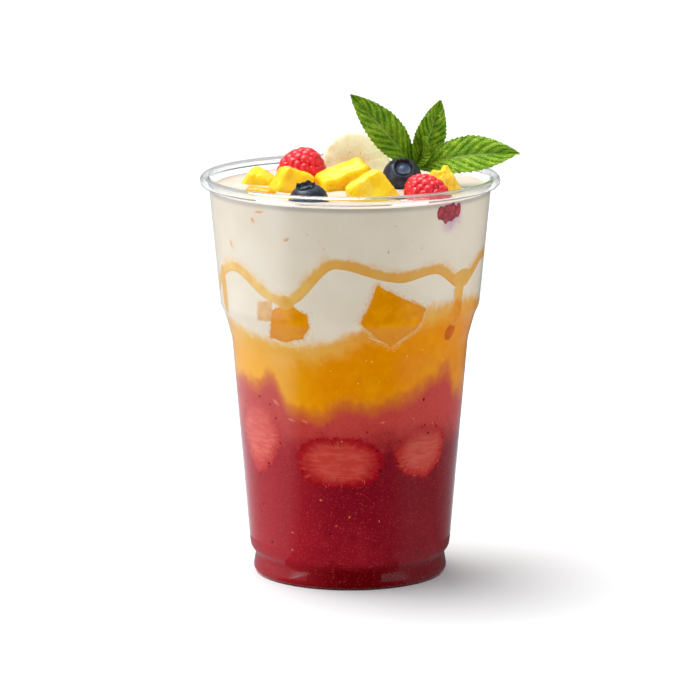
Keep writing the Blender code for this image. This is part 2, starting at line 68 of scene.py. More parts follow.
# Crests and troughs of the layers and of the sauce line: degrees from the front, and height
BERRY_TURNS = [
    (-150, 63), (-100, 61), (-66, 64.5), (-54, 63.5), (-43, 68), (-31, 57), (-16, 56.3), (-3, 60.4),
    (9, 59.2), (22, 60.6), (55.7, 68.4), (66, 60), (78, 58.4), (120, 64), (165, 59),
]
MANGO_TURNS = [(-120, 88.5), (-25, 79.6), (36, 91.4), (62, 92), (110, 86), (145, 82), (180, 84)]
RIBBON_TURNS = [
    (-160, 94), (-128, 104), (-96, 89.5), (-59, 102.3), (-29.5, 93.6), (-6, 106.4), (22, 101.6),
    (39, 103.4), (55.5, 97.6), (76, 104), (108, 106), (140, 95), (172, 105),
]


# Small helpers for shapes

def rgb(red, green, blue):
    """A colour given as it shows on a screen, from 0 to 255."""
    channels = []
    for level in (red, green, blue):
        share = level / 255
        channels.append(share / 12.92 if share <= 0.04045 else ((share + 0.055) / 1.055) ** 2.4)
    return (*channels, 1)


def rounded(corners, points=5):
    """A line of (x, y, round) corners with each corner turned into a short curve."""
    line = [Vector(corners[0][:2])]
    for before, corner, after in zip(corners, corners[1:], corners[2:]):
        middle = Vector(corner[:2])
        back = Vector(before[:2]) - middle
        ahead = Vector(after[:2]) - middle
        start = middle + back.normalized() * min(corner[2], back.length / 2)
        end = middle + ahead.normalized() * min(corner[2], ahead.length / 2)
        for i in range(points):
            share = i / (points - 1)
            line.append(start.lerp(middle, share).lerp(middle.lerp(end, share), share))
    line.append(Vector(corners[-1][:2]))
    return line


def inset(line, distance):
    """A line moved towards its left by a distance, with its corners kept."""
    moved = []
    for i, point in enumerate(line):
        before = (point - line[i - 1]).normalized() if i else (line[1] - point).normalized()
        after = (line[i + 1] - point).normalized() if i + 1 < len(line) else before
        along = (before + after).normalized()
        moved.append(point + Vector((-along.y, along.x)) * distance / max(after.dot(along), 0.4))
    return moved


OUTER = rounded([*SIDE, (44.3, 126.2, 0)])
MIDDLE = inset(OUTER, SHEET / 2)
MIDDLE[0].y = SHEET / 2
SHEET_LINE = [Vector(point) for point in BASE] + MIDDLE[:-1]
CONTENT_LINE = inset(SHEET_LINE, SHEET / 2 - REACH)
CONTENT_BASE = [point for point in CONTENT_LINE if point.y < 1.4]
CONTENT_SIDE = [point for point in CONTENT_LINE if point.y >= 1.4]


def wall(height):
    """Radius of the contents at a height."""
    low = CONTENT_SIDE[0]
    for high in CONTENT_SIDE[1:]:
        if height <= high.y:
            return low.x + (high.x - low.x) * (height - low.y) / (high.y - low.y)
        low = high
    return low.x


def at(angle, radius, height):
    """The point at degrees from the front, positive to the right."""
    turn = math.radians(angle)
    return Vector((radius * math.sin(turn), -radius * math.cos(turn), height))


def angle_of(point):
    return math.degrees(math.atan2(point.x, -point.y))


def wave(angle, turns):
    """Height at an angle on a line that eases from each crest or trough to the next."""
    for i, (start, low) in enumerate(turns):
        end, high = turns[(i + 1) % len(turns)]
        span = (end - start) % 360
        along = (angle - start) % 360
        if along <= span:
            share = along / span
            return low + (high - low) * share * share * (3 - 2 * share)
    return turns[0][1]


def ragged(point, size, height):
    """Unevenness of a given grain size and height at a point."""
    return height * noise.noise(point / size)


def line_height(angle, turns, middle, share):
    """Height of the surface between two layers, a wave at the wall that evens out to the middle."""
    edge = wave(angle, turns) + ragged(at(angle, 12, turns[0][1]), 1.4, 0.3)
    return middle + (edge - middle) * share * share


def berry_line(angle, share=1):
    return line_height(angle, BERRY_TURNS, 61, share)


def mango_line(angle, share=1):
    return line_height(angle, MANGO_TURNS, 84, share)


def mark_lines(mesh):
    """Stores how far each point of a mesh is above the berry line and above the mango line."""
    berry, mango = [], []
    lines = {}
    for vertex in mesh.vertices:
        spot = vertex.co / MM
        angle = round(angle_of(spot) % 360, 3)
        if angle not in lines:
            lines[angle] = (berry_line(angle), mango_line(angle))
        berry.append(spot.z - lines[angle][0])
        mango.append(spot.z - lines[angle][1])
    attribute(mesh, "above_berry", berry)
    attribute(mesh, "above_mango", mango)
    return mesh


def mesh_of(bm, name):
    """A mesh in metres from a bmesh in millimetres."""
    bmesh.ops.scale(bm, vec=(MM, MM, MM), verts=bm.verts[:])
    mesh = bpy.data.meshes.new(name)
    bm.to_mesh(mesh)
    bm.free()
    return mesh


def skin(name, rings):
    """A surface from rings of points, bottom first. A ring of one point closes an end."""
    bm = bmesh.new()
    made = [[bm.verts.new(point) for point in ring] for ring in rings]
    for low, high in zip(made, made[1:]):
        count = max(len(low), len(high))
        for i in range(count):
            j = (i + 1) % count
            corners = [low[i % len(low)], low[j % len(low)], high[j % len(high)], high[i % len(high)]]
            bm.faces.new(list(dict.fromkeys(corners)))
    return mesh_of(bm, name)


def attribute(mesh, name, values):
    """Stores one number for each vertex."""
    layer = mesh.attributes.new(name, "FLOAT", "POINT")
    layer.data.foreach_set("value", values)


def plane_map(mesh, places):
    """Stores a flat place for each vertex as the mesh's UV map."""
    layer = mesh.uv_layers.new(name="Surface")
    for loop in mesh.loops:
        layer.data[loop.index].uv = places[loop.vertex_index]


def helper(name, mesh):
    obj = bpy.data.objects.new(name, mesh)
    bpy.context.scene.collection.objects.link(obj)
    return obj


def piece(name, mesh, look, node=None, sharp=40):
    """A finished piece of the object that rides on its body, and may stand for a CAD node."""
    mesh.materials.clear()
    mesh.materials.append(look)
    mesh.shade_smooth()
    mesh.set_sharp_from_angle(angle=math.radians(sharp))
    obj = helper(name, mesh)
    if node:
        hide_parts(node)
    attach(obj, "root")
    return obj


def evaluated(obj, name):
    """The mesh of an object with its modifiers; the object itself is removed."""
    graph = bpy.context.evaluated_depsgraph_get()
    mesh = bpy.data.meshes.new_from_object(obj.evaluated_get(graph))
    mesh.name = name
    bpy.data.objects.remove(obj)
    return mesh


def joined(mesh, distance):
    """The mesh with its points that lie within a distance in millimetres made one."""
    bm = bmesh.new()
    bm.from_mesh(mesh)
    bmesh.ops.remove_doubles(bm, verts=bm.verts[:], dist=distance * MM)
    bm.to_mesh(mesh)
    bm.free()
    return mesh


def turns(count):
    """Even directions round a full turn, in radians."""
    return [2 * math.pi * i / count for i in range(count)]


# Small helpers for materials

def put(tree, kind, inputs=None, **settings):
    """Adds a node with its settings, and sets or links its inputs by name or number."""
    made = tree.nodes.new(kind)
    for name, value in settings.items():
        setattr(made, name, value)
    for key, value in (inputs or {}).items():
        if isinstance(value, bpy.types.NodeSocket):
            tree.links.new(value, made.inputs[key])
        else:
            made.inputs[key].default_value = value
    return made


def add(kind, inputs, **settings):
    """Adds a node to the tree that its first linked input is in."""
    linked = next(value for value in inputs.values() if isinstance(value, bpy.types.NodeSocket))
    return put(linked.id_data, kind, inputs, **settings)


def maths(operation, first, second=0.0, third=0.0):
    return add("ShaderNodeMath", {0: first, 1: second, 2: third}, operation=operation).outputs[0]


def times(first, second):
    return maths("MULTIPLY", first, second)


def times_plus(first, second, third):
    """First times second, plus third."""
    return maths("MULTIPLY_ADD", first, second, third)


def vector(operation, first, second=(0, 0, 0)):
    return add("ShaderNodeVectorMath", {0: first, 1: second}, operation=operation).outputs


def fade(value, low, high, start=0.0, end=1.0):
    """Eases from start to end while the value goes from low to high."""
    inputs = {0: value, 1: low, 2: high, 3: start, 4: end}
    return add("ShaderNodeMapRange", inputs, interpolation_type="SMOOTHSTEP").outputs[0]


def over(colour, *coats):
    """A colour with coats laid over it in turn, each a share and a colour."""
    for share, coat in coats:
        colour = add("ShaderNodeMix", {0: share, 6: colour, 7: coat}, data_type="RGBA").outputs[2]
    return colour


def grain(place, size, detail=2.0, stretch=None):
    """Noise of a grain size in millimetres, about 0 to 1, with its middle near a half."""
    if stretch:
        place = vector("MULTIPLY", place, stretch)[0]
    inputs = {"Vector": place, "Scale": 1 / size, "Detail": detail, "Roughness": 0.5}
    return add("ShaderNodeTexNoise", inputs).outputs["Fac"]


def ramp(value, stops):
    """Colours along a value, each stop a place from 0 to 1 and a colour."""
    made = add("ShaderNodeValToRGB", {0: value})
    elements = made.color_ramp.elements
    while len(elements) < len(stops):
        elements.new(1)
    for element, (position, colour) in zip(elements, stops):
        element.position = position
        element.color = colour
    return made.outputs[0]


def place_in_mm(tree):
    coordinates = put(tree, "ShaderNodeTexCoord").outputs["Object"]
    return vector("MULTIPLY", coordinates, (1000, 1000, 1000))[0]


def parts_of(place):
    """The x, y and z of a place."""
    return add("ShaderNodeSeparateXYZ", {0: place}).outputs


def stored(tree, name):
    return put(tree, "ShaderNodeAttribute", attribute_name=name).outputs["Fac"]


def specks(place, apart, share, keep):
    """A mask of small dots, so far apart, of a share of that width, in some of the cells."""
    cells = add("ShaderNodeTexVoronoi", {"Vector": place, "Scale": 1 / apart})
    dot = fade(cells.outputs["Distance"], share, share * 0.6)
    shown = add("ShaderNodeSeparateColor", {0: cells.outputs["Color"]}).outputs[0]
    return times(dot, fade(shown, keep, keep - 0.05))


def shader_of(made):
    return made.node_tree.nodes["Principled BSDF"]


def finish(name, roughness, **sockets):
    """A new material and its tree. A value that is the same all over is set on the shader's own socket."""
    made = bpy.data.materials.new(name)
    made.use_nodes = True
    sockets["Roughness"] = roughness
    for key, value in sockets.items():
        shader_of(made).inputs[key.replace("_", " ")].default_value = value
    return made, made.node_tree


def coloured(made, colour, height=None, depth=0.12):
    """Gives a finish its colour, and relief from a height of 0 to 1 over a depth in millimetres. Without a
    height it is a moist surface's."""
    tree = made.node_tree
    if height is None:
        height = use(WET, {"Place": place_in_mm(tree)})["Height"]
    bump = put(tree, "ShaderNodeBump", {"Height": height, "Distance": depth * MM, "Strength": 1.0})
    tree.links.new(colour, shader_of(made).inputs["Base Color"])
    tree.links.new(bump.outputs[0], shader_of(made).inputs["Normal"])
    return made


def group(name, inputs, outputs):
    """A shader node group. Each input has a title and a value, and each output a title and a kind."""
    tree = bpy.data.node_groups.new(name, "ShaderNodeTree")
    for title, value in inputs.items():
        kind = "NodeSocketFloat" if isinstance(value, float) else "NodeSocketVector"
        tree.interface.new_socket(title, in_out="INPUT", socket_type=kind).default_value = value
    for title, kind in outputs.items():
        tree.interface.new_socket(title, in_out="OUTPUT", socket_type=kind)
    return tree, tree.nodes.new("NodeGroupInput").outputs, tree.nodes.new("NodeGroupOutput").inputs


def use(made, inputs):
    """Places a node group and sets its inputs."""
    return add("ShaderNodeGroup", inputs, node_tree=made).outputs


# Effects that several materials share

# How far the berry layer fades into the mango layer, and that into the yoghurt
BERRY_BLEND = 8
MANGO_BLEND = 4.4


def layer_colours():
    """The colour of the layers, from how far a place is above the berry line and above the mango line."""
    tree, given, out = group(
        "Layer colours",
        {"Place": (0, 0, 0), "Above Berry": 0.0, "Above Mango": 0.0},
        {"Colour": "NodeSocketColor"},
    )
    place = given["Place"]
    wide = grain(place, 9)
    middle = grain(place, 2.4, 3)
    fine = grain(place, 0.55)
    streaks = grain(place, 1.8, 2, (1, 1, 0.28))
    shade = times_plus(wide, 0.6, times(middle, 0.4))
    side, _, level = parts_of(place)
    # Painted shade: the berry layer is darker round the strawberry slices, from a height of 12 to 54.
    deep = times(fade(level, 12, 30), fade(level, 54, 42, 0, 0.9))
    unsettled = times_plus(wide, 9, times_plus(middle, 6, level))
    berry = over(
        ramp(shade, [(0.3, rgb(134, 15, 31)), (0.5, rgb(150, 22, 37)), (0.7, rgb(168, 32, 45))]),
        (deep, rgb(130, 13, 31)),
        # Darker towards the foot.
        (fade(level, 9, 5.5), rgb(106, 3, 9)),
        # Painted light on the left side, and painted shade, duller, on the right.
        (fade(side, 0, -26, 0, 0.8), rgb(184, 38, 49)),
        (fade(side, 5, 20, 0, 0.6), rgb(134, 32, 40)),
        (fade(unsettled, 50, 63), rgb(205, 71, 64)),
        (fade(fine, 0.56, 0.72, 0, 0.3), rgb(214, 88, 80)),
        (fade(fine, 0.42, 0.3, 0, 0.3), rgb(92, 6, 24)),
        (times(specks(place, 1.6, 0.16, 0.35), fade(level, 40, 56, 0.35, 0.8)), rgb(210, 90, 80)),
    )
    mango = over(
        ramp(shade, [(0.3, rgb(242, 140, 0)), (0.5, rgb(246, 150, 0)), (0.7, rgb(250, 162, 10))]),
        # Painted light on the left side.
        (fade(side, -4, -30, 0, 0.85), rgb(252, 180, 26)),
        (fade(fine, 0.58, 0.75, 0, 0.2), rgb(253, 196, 80)),
        (specks(place, 2.2, 0.14, 0.3), rgb(255, 206, 110)),
    )
    yoghurt = ramp(wide, [(0.35, rgb(246, 230, 206)), (0.65, rgb(249, 235, 213))])
    # Painted shade over the yoghurt's top and the band just under it.
    yoghurt = over(yoghurt, (fade(level, 121.8, 123.2), rgb(210, 198, 182)))
    drift = times_plus(wide, 4, times_plus(middle, 3.5, given["Above Berry"]))
    drift = times_plus(streaks, 1.5, drift)
    rise = times_plus(drift, 1 / BERRY_BLEND, -3.5 / BERRY_BLEND)
    shaken = times_plus(middle, 4, times_plus(streaks, 1.2, -2.6))
    edge = maths("ADD", given["Above Mango"], shaken)
    colour = over(
        berry,
        (fade(rise, -0.35, 0.25), rgb(218, 110, 44)),
        (fade(rise, 0.1, 0.7), mango),
        (fade(times_plus(wide, 8, edge), -6, 6, 0, 0.6), rgb(246, 204, 112)),
        (fade(edge, -MANGO_BLEND / 2, MANGO_BLEND / 2), yoghurt),
    )
    tree.links.new(colour, out["Colour"])
    return tree


def stain_mask():
    """How much a stain round a centre colours a place, uneven at its edge."""
    tree, given, out = group(
        "Stain",
        {"Place": (0, 0, 0), "Centre": (0, 0, 0), "Radius": 5.0, "Strength": 0.5},
        {"Share": "NodeSocketFloat"},
    )
    away = vector("DISTANCE", given["Place"], given["Centre"])["Value"]
    unsettled = times_plus(grain(given["Place"], 2, 3), 0.8, -0.4)
    share = maths("ADD", maths("DIVIDE", away, given["Radius"]), unsettled)
    tree.links.new(times(fade(share, 1, 0.1), given["Strength"]), out["Share"])
    return tree


def wet_relief():
    """Height of a moist surface: broad swells, and a fine grain over them."""
    tree, given, out = group(
        "Wet relief",
        {"Place": (0, 0, 0), "Swell": 3.0, "Grain": 0.4, "Grain Share": 0.3},
        {"Height": "NodeSocketFloat"},
    )
    heights = []
    for size in ("Swell", "Grain"):
        inputs = {0: given["Place"], "Scale": maths("DIVIDE", 1.0, given[size])}
        scaled = put(tree, "ShaderNodeVectorMath", inputs, operation="SCALE")
        heights.append(grain(scaled.outputs[0], 1))
    inputs = {0: given["Grain Share"], 2: heights[0], 3: heights[1]}
    tree.links.new(put(tree, "ShaderNodeMix", inputs, data_type="FLOAT").outputs[0], out["Height"])
    return tree


LAYER_COLOURS = layer_colours()
STAIN = stain_mask()
WET = wet_relief()

# The cup and what fills it

# The share of a lamp's light that the sheet lets through to what is inside
LIGHT_THROUGH = 0.86


def plastic():
    """Clear formed plastic. Lamps light what is inside it, less what its faces turn away."""
    made, tree = finish("Clear plastic", 0.02, Base_Color=rgb(252, 253, 253), Transmission_Weight=1.0, IOR=1.5)
    path = put(tree, "ShaderNodeLightPath").outputs
    either = maths("MAXIMUM", path["Is Shadow Ray"], path["Is Diffuse Ray"])
    through = put(tree, "ShaderNodeBsdfTransparent", {"Color": (*[LIGHT_THROUGH] * 3, 1)})
    both = put(tree, "ShaderNodeMixShader", {0: either, 1: shader_of(made).outputs[0], 2: through.outputs[0]})
    tree.links.new(both.outputs[0], tree.nodes["Material Output"].inputs["Surface"])
    return made


def layer_around(place):
    """The colour of the layer at a place, which a piece at the wall melts into at its edge."""
    tree = place.id_data
    lines = {"Above Berry": stored(tree, "above_berry"), "Above Mango": stored(tree, "above_mango")}
    return use(LAYER_COLOURS, {"Place": place, **lines})["Colour"]


def wall_finish(name):
    """Material, tree and place of a finish that shows through the wall. As it wets it, it has no gloss."""
    made, tree = finish(name, 0.5, Specular_IOR_Level=0.0)
    return made, tree, place_in_mm(tree)


def melted(made, place, share, colour):
    """Gives a finish a share of its own colour, and for the rest that of the layer round it."""
    return coloured(made, over(layer_around(place), (share, colour)))


def layer_finish(name, roughness, gloss, stains=()):
    """The finish of a layer. One that only shows through the wall has no gloss, as it wets the plastic."""
    made, tree = finish(name, roughness, Specular_IOR_Level=gloss)
    place = place_in_mm(tree)
    colour = layer_around(place)
    for centre, radius, strength, tint in stains:
        share = use(STAIN, {"Place": place, "Centre": centre, "Radius": radius, "Strength": strength})
        colour = over(colour, (share["Share"], tint))
    return coloured(made, colour)


def cup():
    """The formed sheet with its curled lip, turned round the axis."""
    curl = []
    for i in range(25):
        turn = math.radians(180 - LIP_TURN * i / 24)
        curl.append(LIP_CENTRE + LIP_RADIUS * Vector((math.cos(turn), math.sin(turn))))
    line = SHEET_LINE + curl
    rings = [[Vector((0, 0, line[0].y))]]
    for point in line[1:]:
        rings.append([at(360 * i / CUP_STEPS, point.x, point.y) for i in range(CUP_STEPS)])
    sheet = helper("sheet", skin("sheet", rings))
    shell = sheet.modifiers.new("Sheet", "SOLIDIFY")
    shell.thickness = SHEET * MM
    shell.offset = 0
    shell.use_even_offset = True
    bpy.context.view_layer.update()
    return piece("clear_cup", evaluated(sheet, "clear_cup"), plastic(), "cup", 50)


def toppings_round():
    """Centre and radius, in millimetres, of each topping where it meets the yoghurt."""
    round_them = []
    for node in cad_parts:
        low, high = (Vector(corner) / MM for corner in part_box(node))
        if high.z < YOGHURT_LEVEL + 1 or node in ("cup", "yoghurt", "mint_sprig"):
            continue
        centre = (low + high) / 2
        round_them.append((Vector((centre.x, centre.y)), ((high.x - low.x) + (high.y - low.y)) / 4))
    return round_them


def yoghurt_surface(toppings):
    """The spooned surface, which climbs a little at the wall and round each topping."""
    edge = wall(YOGHURT_LEVEL)

    def height(angle, share):
        spot = at(angle, edge * share, 0)
        swell = 0.35 * math.sin(spot.x / 9) * math.cos(spot.y / 11 + 0.6)
        fine = ragged(spot, 5, 0.35) + ragged(spot, 1.8, 0.08)
        climb = 0.5 * math.exp(-(edge * (1 - share)) / 0.9)
        for centre, radius in toppings:
            away = (Vector((spot.x, spot.y)) - centre).length
            climb += 0.45 * math.exp(-(((away - radius) / 1.6) ** 2))
        return YOGHURT_LEVEL + (swell + fine) * (1 - share**8) + min(climb, 0.9)

    return height


def layer(name, lower, upper, colour, node, top_rings, wall_rows):
    """A layer of puree or yoghurt, through the cup. Lower and upper give height at an angle and share out."""
    angles = [360 * i / LAYER_STEPS for i in range(LAYER_STEPS)]
    rings = []
    if lower:
        for i in range(7):
            share = i / 7
            rings.append([at(a, wall(lower(a)) * share, lower(a, share)) for a in angles])
        rings[0] = [Vector((0, 0, lower(0, 0)))]
        foot = [lower(a) for a in angles]
    else:
        rings.append([Vector((0, 0, CONTENT_BASE[0].y))])
        for point in CONTENT_BASE[1:]:
            rings.append([at(a, point.x, point.y) for a in angles])
        foot = [CONTENT_SIDE[0].y for _ in angles]
    head = [upper(a, 1) for a in angles]
    for i in range(wall_rows + 1):
        share = i / wall_rows
        row = []
        for angle, low, high in zip(angles, foot, head):
            level = low + (high - low) * share
            row.append(at(angle, wall(level), level))
        rings.append(row)
    for i in range(1, top_rings):
        share = 1 - i / top_rings
        rings.append([at(a, wall(h) * share, upper(a, share)) for a, h in zip(angles, head)])
    rings.append([Vector((0, 0, upper(0, 0)))])
    return piece(name, mark_lines(skin(name, rings)), colour, node)


def contents():
    """The three layers. What shows of the toppings' juice stains the yoghurt."""
    berry_stain = (at(46, 43.5, 119.5), 6.5, 0.75, rgb(205, 150, 185))
    front_stain = (Vector((23.9, -26, 123.3)), 8, 0.5, rgb(240, 150, 150))
    back_stain = (Vector((-15, 5, 123.3)), 9, 0.4, rgb(244, 190, 150))
    stains = (berry_stain, front_stain, back_stain)
    layer("berry_layer", None, berry_line, layer_finish("Berry puree", 0.5, 0.0), "berry_puree", 6, 90)
    layer("mango_layer", berry_line, mango_line, layer_finish("Mango puree", 0.5, 0.0), "mango_puree", 6, 60)
    top = yoghurt_surface(toppings_round())
    layer("yoghurt_layer", mango_line, top, layer_finish("Yoghurt", 0.35, 0.25, stains), "yoghurt", 110, 70)


# What shows against the wall

def leaned(centre, reach, turn, lean):
    """The angle and height at a reach from a centre on the wall, in a direction, on a piece that leans."""
    across, up = reach * math.cos(turn), reach * math.sin(turn)
    slope = math.radians(lean)
    level = centre[1] + up * math.cos(slope) - across * math.sin(slope)
    side = across * math.cos(slope) + up * math.sin(slope)
    return centre[0] + math.degrees(side / wall(level)), level


def wall_patch(name, centre, outline, depth, lean=0.0, proud=FRUIT_PROUD, spokes=120, rings=16):
    """A flat-faced piece against the wall. Its outline gives its reach from its centre in a direction."""
    shown = [i / rings for i in range(rings + 1)]
    shares = [(share, True) for share in shown] + [(share, False) for share in reversed(shown)]
    made, places = [], []
    for share, back in shares:
        inward = depth * (0.1 + 0.9 * math.sqrt(max(1 - share * share, 0))) if back else 0
        ring = []
        for turn in turns(spokes if share else 1):
            angle, level = leaned(centre, outline(turn) * share, turn, lean)
            ring.append(at(angle, wall(level) + proud - inward, level))
            places.append((0.5 + 0.5 * share * math.cos(turn), 0.5 + 0.5 * share * math.sin(turn)))
        made.append(ring)
    mesh = skin(name, made)
    plane_map(mesh, places)
    return mark_lines(mesh)


def oval(half_width, half_height, ruffle=0.0, point=0.0, square=2.0):
    """The outline of an oval, ruffled, drawn to a point at its foot, or filled out towards a rectangle."""

    def reach(turn):
        across = abs(math.cos(turn)) / half_width
        up = abs(math.sin(turn)) / half_height
        taper = 1 - point * max(-math.sin(turn), 0) * abs(math.cos(turn))
        spot = Vector((3 * math.cos(turn), 3 * math.sin(turn), half_width))
        return taper * (1 + ruffle * noise.noise(spot * 3)) / (across**square + up**square) ** (1 / square)

    return reach


def polygon(corners, centre):
    """The outline of a cut face, from corners in degrees and height round a centre."""
    radius = wall(centre[1])
    points = [Vector((math.radians(a - centre[0]) * radius, h - centre[1])) for a, h in corners]

    def reach(turn):
        ray = Vector((math.cos(turn), math.sin(turn)))
        found = 99.0
        for start, end in zip(points, points[1:] + points[:1]):
            side = end - start
            cross = ray.x * side.y - ray.y * side.x
            if abs(cross) < 1e-9:
                continue
            away = (start.x * side.y - start.y * side.x) / cross
            share = (start.x * ray.y - start.y * ray.x) / cross
            if away > 0 and -1e-6 <= share <= 1 + 1e-6:
                found = min(found, away)
        spot = Vector((math.cos(turn), math.sin(turn), radius))
        return found * (1 + 0.05 * noise.noise(spot * 5) + 0.04 * noise.noise(spot * 17))

    return reach


def from_middle(tree):
    """How far out a place on a patch is, its direction as a vector of length one, and the place itself."""
    flat = put(tree, "ShaderNodeUVMap", uv_map="Surface").outputs[0]
    spot = vector("MULTIPLY", vector("SUBTRACT", flat, (0.5, 0.5, 0))[0], (2, 2, 0))[0]
    return vector("LENGTH", spot)["Value"], vector("NORMALIZE", spot)[0], spot


def strawberry_finish(name, flesh, pale, skin_colour, melt):
    """A cut strawberry: level streaks, and short rays out to a red, bristled skin. Its top melts away."""
    made, tree, place = wall_finish(name)
    out, way, spot = from_middle(tree)
    rays = grain(way, 0.085)
    lines = grain(place, 1.0, 2, (0.22, 0.22, 1))
    low = parts_of(spot)[1]
    reach = times_plus(rays, 0.4, times_plus(grain(place, 1.6, 3), 0.25, out))
    fibre = times(fade(rays, 0.54, 0.66, 0, 0.45), fade(out, 0.6, 0.85))
    fruit = over(
        flesh,
        (fade(lines, 0.4, 0.66, 0, 0.6), pale),
        (fade(reach, 0.82, 1.24), skin_colour),
        (times(fibre, fade(low, 0.3, -0.3, 0.1, 1)), pale),
    )
    bristled = fade(times_plus(rays, 0.24, out), 1.12, 1.0)
    share = times(bristled, fade(low, 1.0, 0.1, melt, 1))
    return melted(made, place, share, fruit)


def seed_tree():
    """Geometry Nodes: a small seed on each point of a mesh, turned at random and lying in its surface."""
    tree = bpy.data.node_groups.new("Seeds", "GeometryNodeTree")
    tree.interface.new_socket("Points", in_out="INPUT", socket_type="NodeSocketGeometry")
    for title, value in (("Length", 0.0012), ("Width", 0.0007), ("Thickness", 0.0005), ("Variation", 0.3)):
        tree.interface.new_socket(title, in_out="INPUT", socket_type="NodeSocketFloat").default_value = value
    tree.interface.new_socket("Seed", in_out="INPUT", socket_type="NodeSocketInt").default_value = 1
    tree.interface.new_socket("Finish", in_out="INPUT", socket_type="NodeSocketMaterial")
    tree.interface.new_socket("Seeds", in_out="OUTPUT", socket_type="NodeSocketGeometry")
    given = tree.nodes.new("NodeGroupInput").outputs
    out = tree.nodes.new("NodeGroupOutput").inputs
    ball = put(tree, "GeometryNodeMeshIcoSphere", {"Radius": 0.5, "Subdivisions": 2})
    size = put(tree, "ShaderNodeCombineXYZ", {0: given["Length"], 1: given["Width"], 2: given["Thickness"]})
    seed = put(tree, "GeometryNodeTransform", {"Geometry": ball.outputs["Mesh"], "Scale": size.outputs[0]})
    normal = put(tree, "GeometryNodeInputNamedAttribute", {"Name": "facing"}, data_type="FLOAT_VECTOR")
    facing = put(tree, "FunctionNodeAlignRotationToVector", {"Vector": normal.outputs["Attribute"]}, axis="Z")
    spin = put(tree, "FunctionNodeRandomValue", {"Seed": given["Seed"]}, data_type="FLOAT")
    spin.inputs[3].default_value = 2 * math.pi
    turned = put(tree, "ShaderNodeCombineXYZ", {2: spin.outputs[1]})
    about = put(tree, "FunctionNodeEulerToRotation", {0: turned.outputs[0]})
    both = put(tree, "FunctionNodeRotateRotation", {0: facing.outputs[0], 1: about.outputs[0]})
    both.rotation_space = "LOCAL"
    grown = put(tree, "FunctionNodeRandomValue", {"Seed": given["Seed"], "ID": 7}, data_type="FLOAT")
    tree.links.new(maths("SUBTRACT", 1.0, given["Variation"]), grown.inputs[2])
    tree.links.new(maths("ADD", 1.0, given["Variation"]), grown.inputs[3])
    inputs = {
        "Points": given["Points"], "Instance": seed.outputs[0], "Rotation": both.outputs[0],
        "Scale": grown.outputs[1],
    }
    spread = put(tree, "GeometryNodeInstanceOnPoints", inputs)
    real = put(tree, "GeometryNodeRealizeInstances", {0: spread.outputs[0]})
    dressed = put(tree, "GeometryNodeSetMaterial", {"Geometry": real.outputs[0], "Material": given["Finish"]})
    tree.links.new(dressed.outputs[0], out[0])
    return tree


def modified(name, mesh, tree, values):
    """The plain mesh that a Geometry Nodes tree makes from a mesh, with its inputs set by their titles."""
    obj = helper(name, mesh)
    made = obj.modifiers.new("Made", "NODES")
    made.node_group = tree
    for socket in tree.interface.items_tree:
        if socket.in_out == "INPUT" and socket.name in values:
            made[socket.identifier] = values[socket.name]
    bpy.context.view_layer.update()
    return evaluated(obj, name)


SEEDS = seed_tree()


def scattered(name, spots, colour, size, seed, variation=0.3):
    """Seeds at spots, each a point and the way it faces."""
    mesh = bpy.data.meshes.new(name)
    mesh.from_pydata([spot * MM for spot, _ in spots], [], [])
    facing = mesh.attributes.new("facing", "FLOAT_VECTOR", "POINT")
    facing.data.foreach_set("vector", [number for _, way in spots for number in way])
    values = {"Variation": variation, "Seed": seed, "Finish": colour}
    for title, length in zip(("Length", "Width", "Thickness"), size):
        values[title] = length * MM
    return piece(name, modified(name, mesh, SEEDS, values), colour)


def on_face(angle, height, proud):
    """A spot at the contents' face and the way it faces."""
    return at(angle, wall(height) + proud, height), at(angle, 1, 0)


def plain(name, roughness, colour, other):
    """A small matt finish for seeds, of two colours that pass into each other."""
    made, tree = finish(name, roughness, Specular_IOR_Level=0.0)
    shade = fade(grain(place_in_mm(tree), 0.6), 0.35, 0.65)
    tree.links.new(over(colour, (shade, other)), shader_of(made).inputs["Base Color"])
    return made


def berry_seeds():
    """The berries' pips in the puree, dark ones and pale ones, with a rough tally for each."""
    draw = random.Random(5)
    dark = plain("Dark pip", 0.4, rgb(74, 8, 24), rgb(108, 16, 32))
    pale = plain("Pale pip", 0.4, rgb(214, 130, 76), rgb(196, 84, 64))
    kinds = (
        ("berry_pips_dark", 36, dark, (0.9, 0.7, 0.3)),
        ("berry_pips_pale", 44, pale, (0.75, 0.5, 0.25)),
    )
    for seed, (name, tally, colour, size) in enumerate(kinds):
        spots = []
        while len(spots) < tally:
            angle = draw.uniform(-180, 180)
            height = draw.uniform(3, 66)
            if height < berry_line(angle) - 2:
                spots.append(on_face(angle, height, -0.02))
        scattered(name, spots, colour, size, seed)


# Centre in degrees and height, half sizes, depth, lean, how far its foot is drawn to a point, and squareness
STRAWBERRIES = {
    "strawberry_slice_left": ((-55, 48.4), (11, 13.8), 3.2, 8, 0.3, 2.2),
    "strawberry_slice_middle": ((-6, 42), (14.4, 8.6), 3.4, 0, 0.05, 2.7),
    "strawberry_slice_right": ((41.5, 43.9), (11, 9.2), 3.2, -12, 0.25, 2.4),
}
# Flesh, its pale streaks, skin, and how much of its top still shows
SLICE_TINTS = {
    "strawberry_slice_left": (rgb(226, 92, 82), rgb(236, 122, 108), rgb(196, 48, 48), 0.15),
    "strawberry_slice_middle": (rgb(202, 64, 54), rgb(216, 92, 80), rgb(168, 13, 28), 0.85),
    "strawberry_slice_right": (rgb(206, 80, 68), rgb(216, 104, 90), rgb(184, 36, 36), 0.2),
}


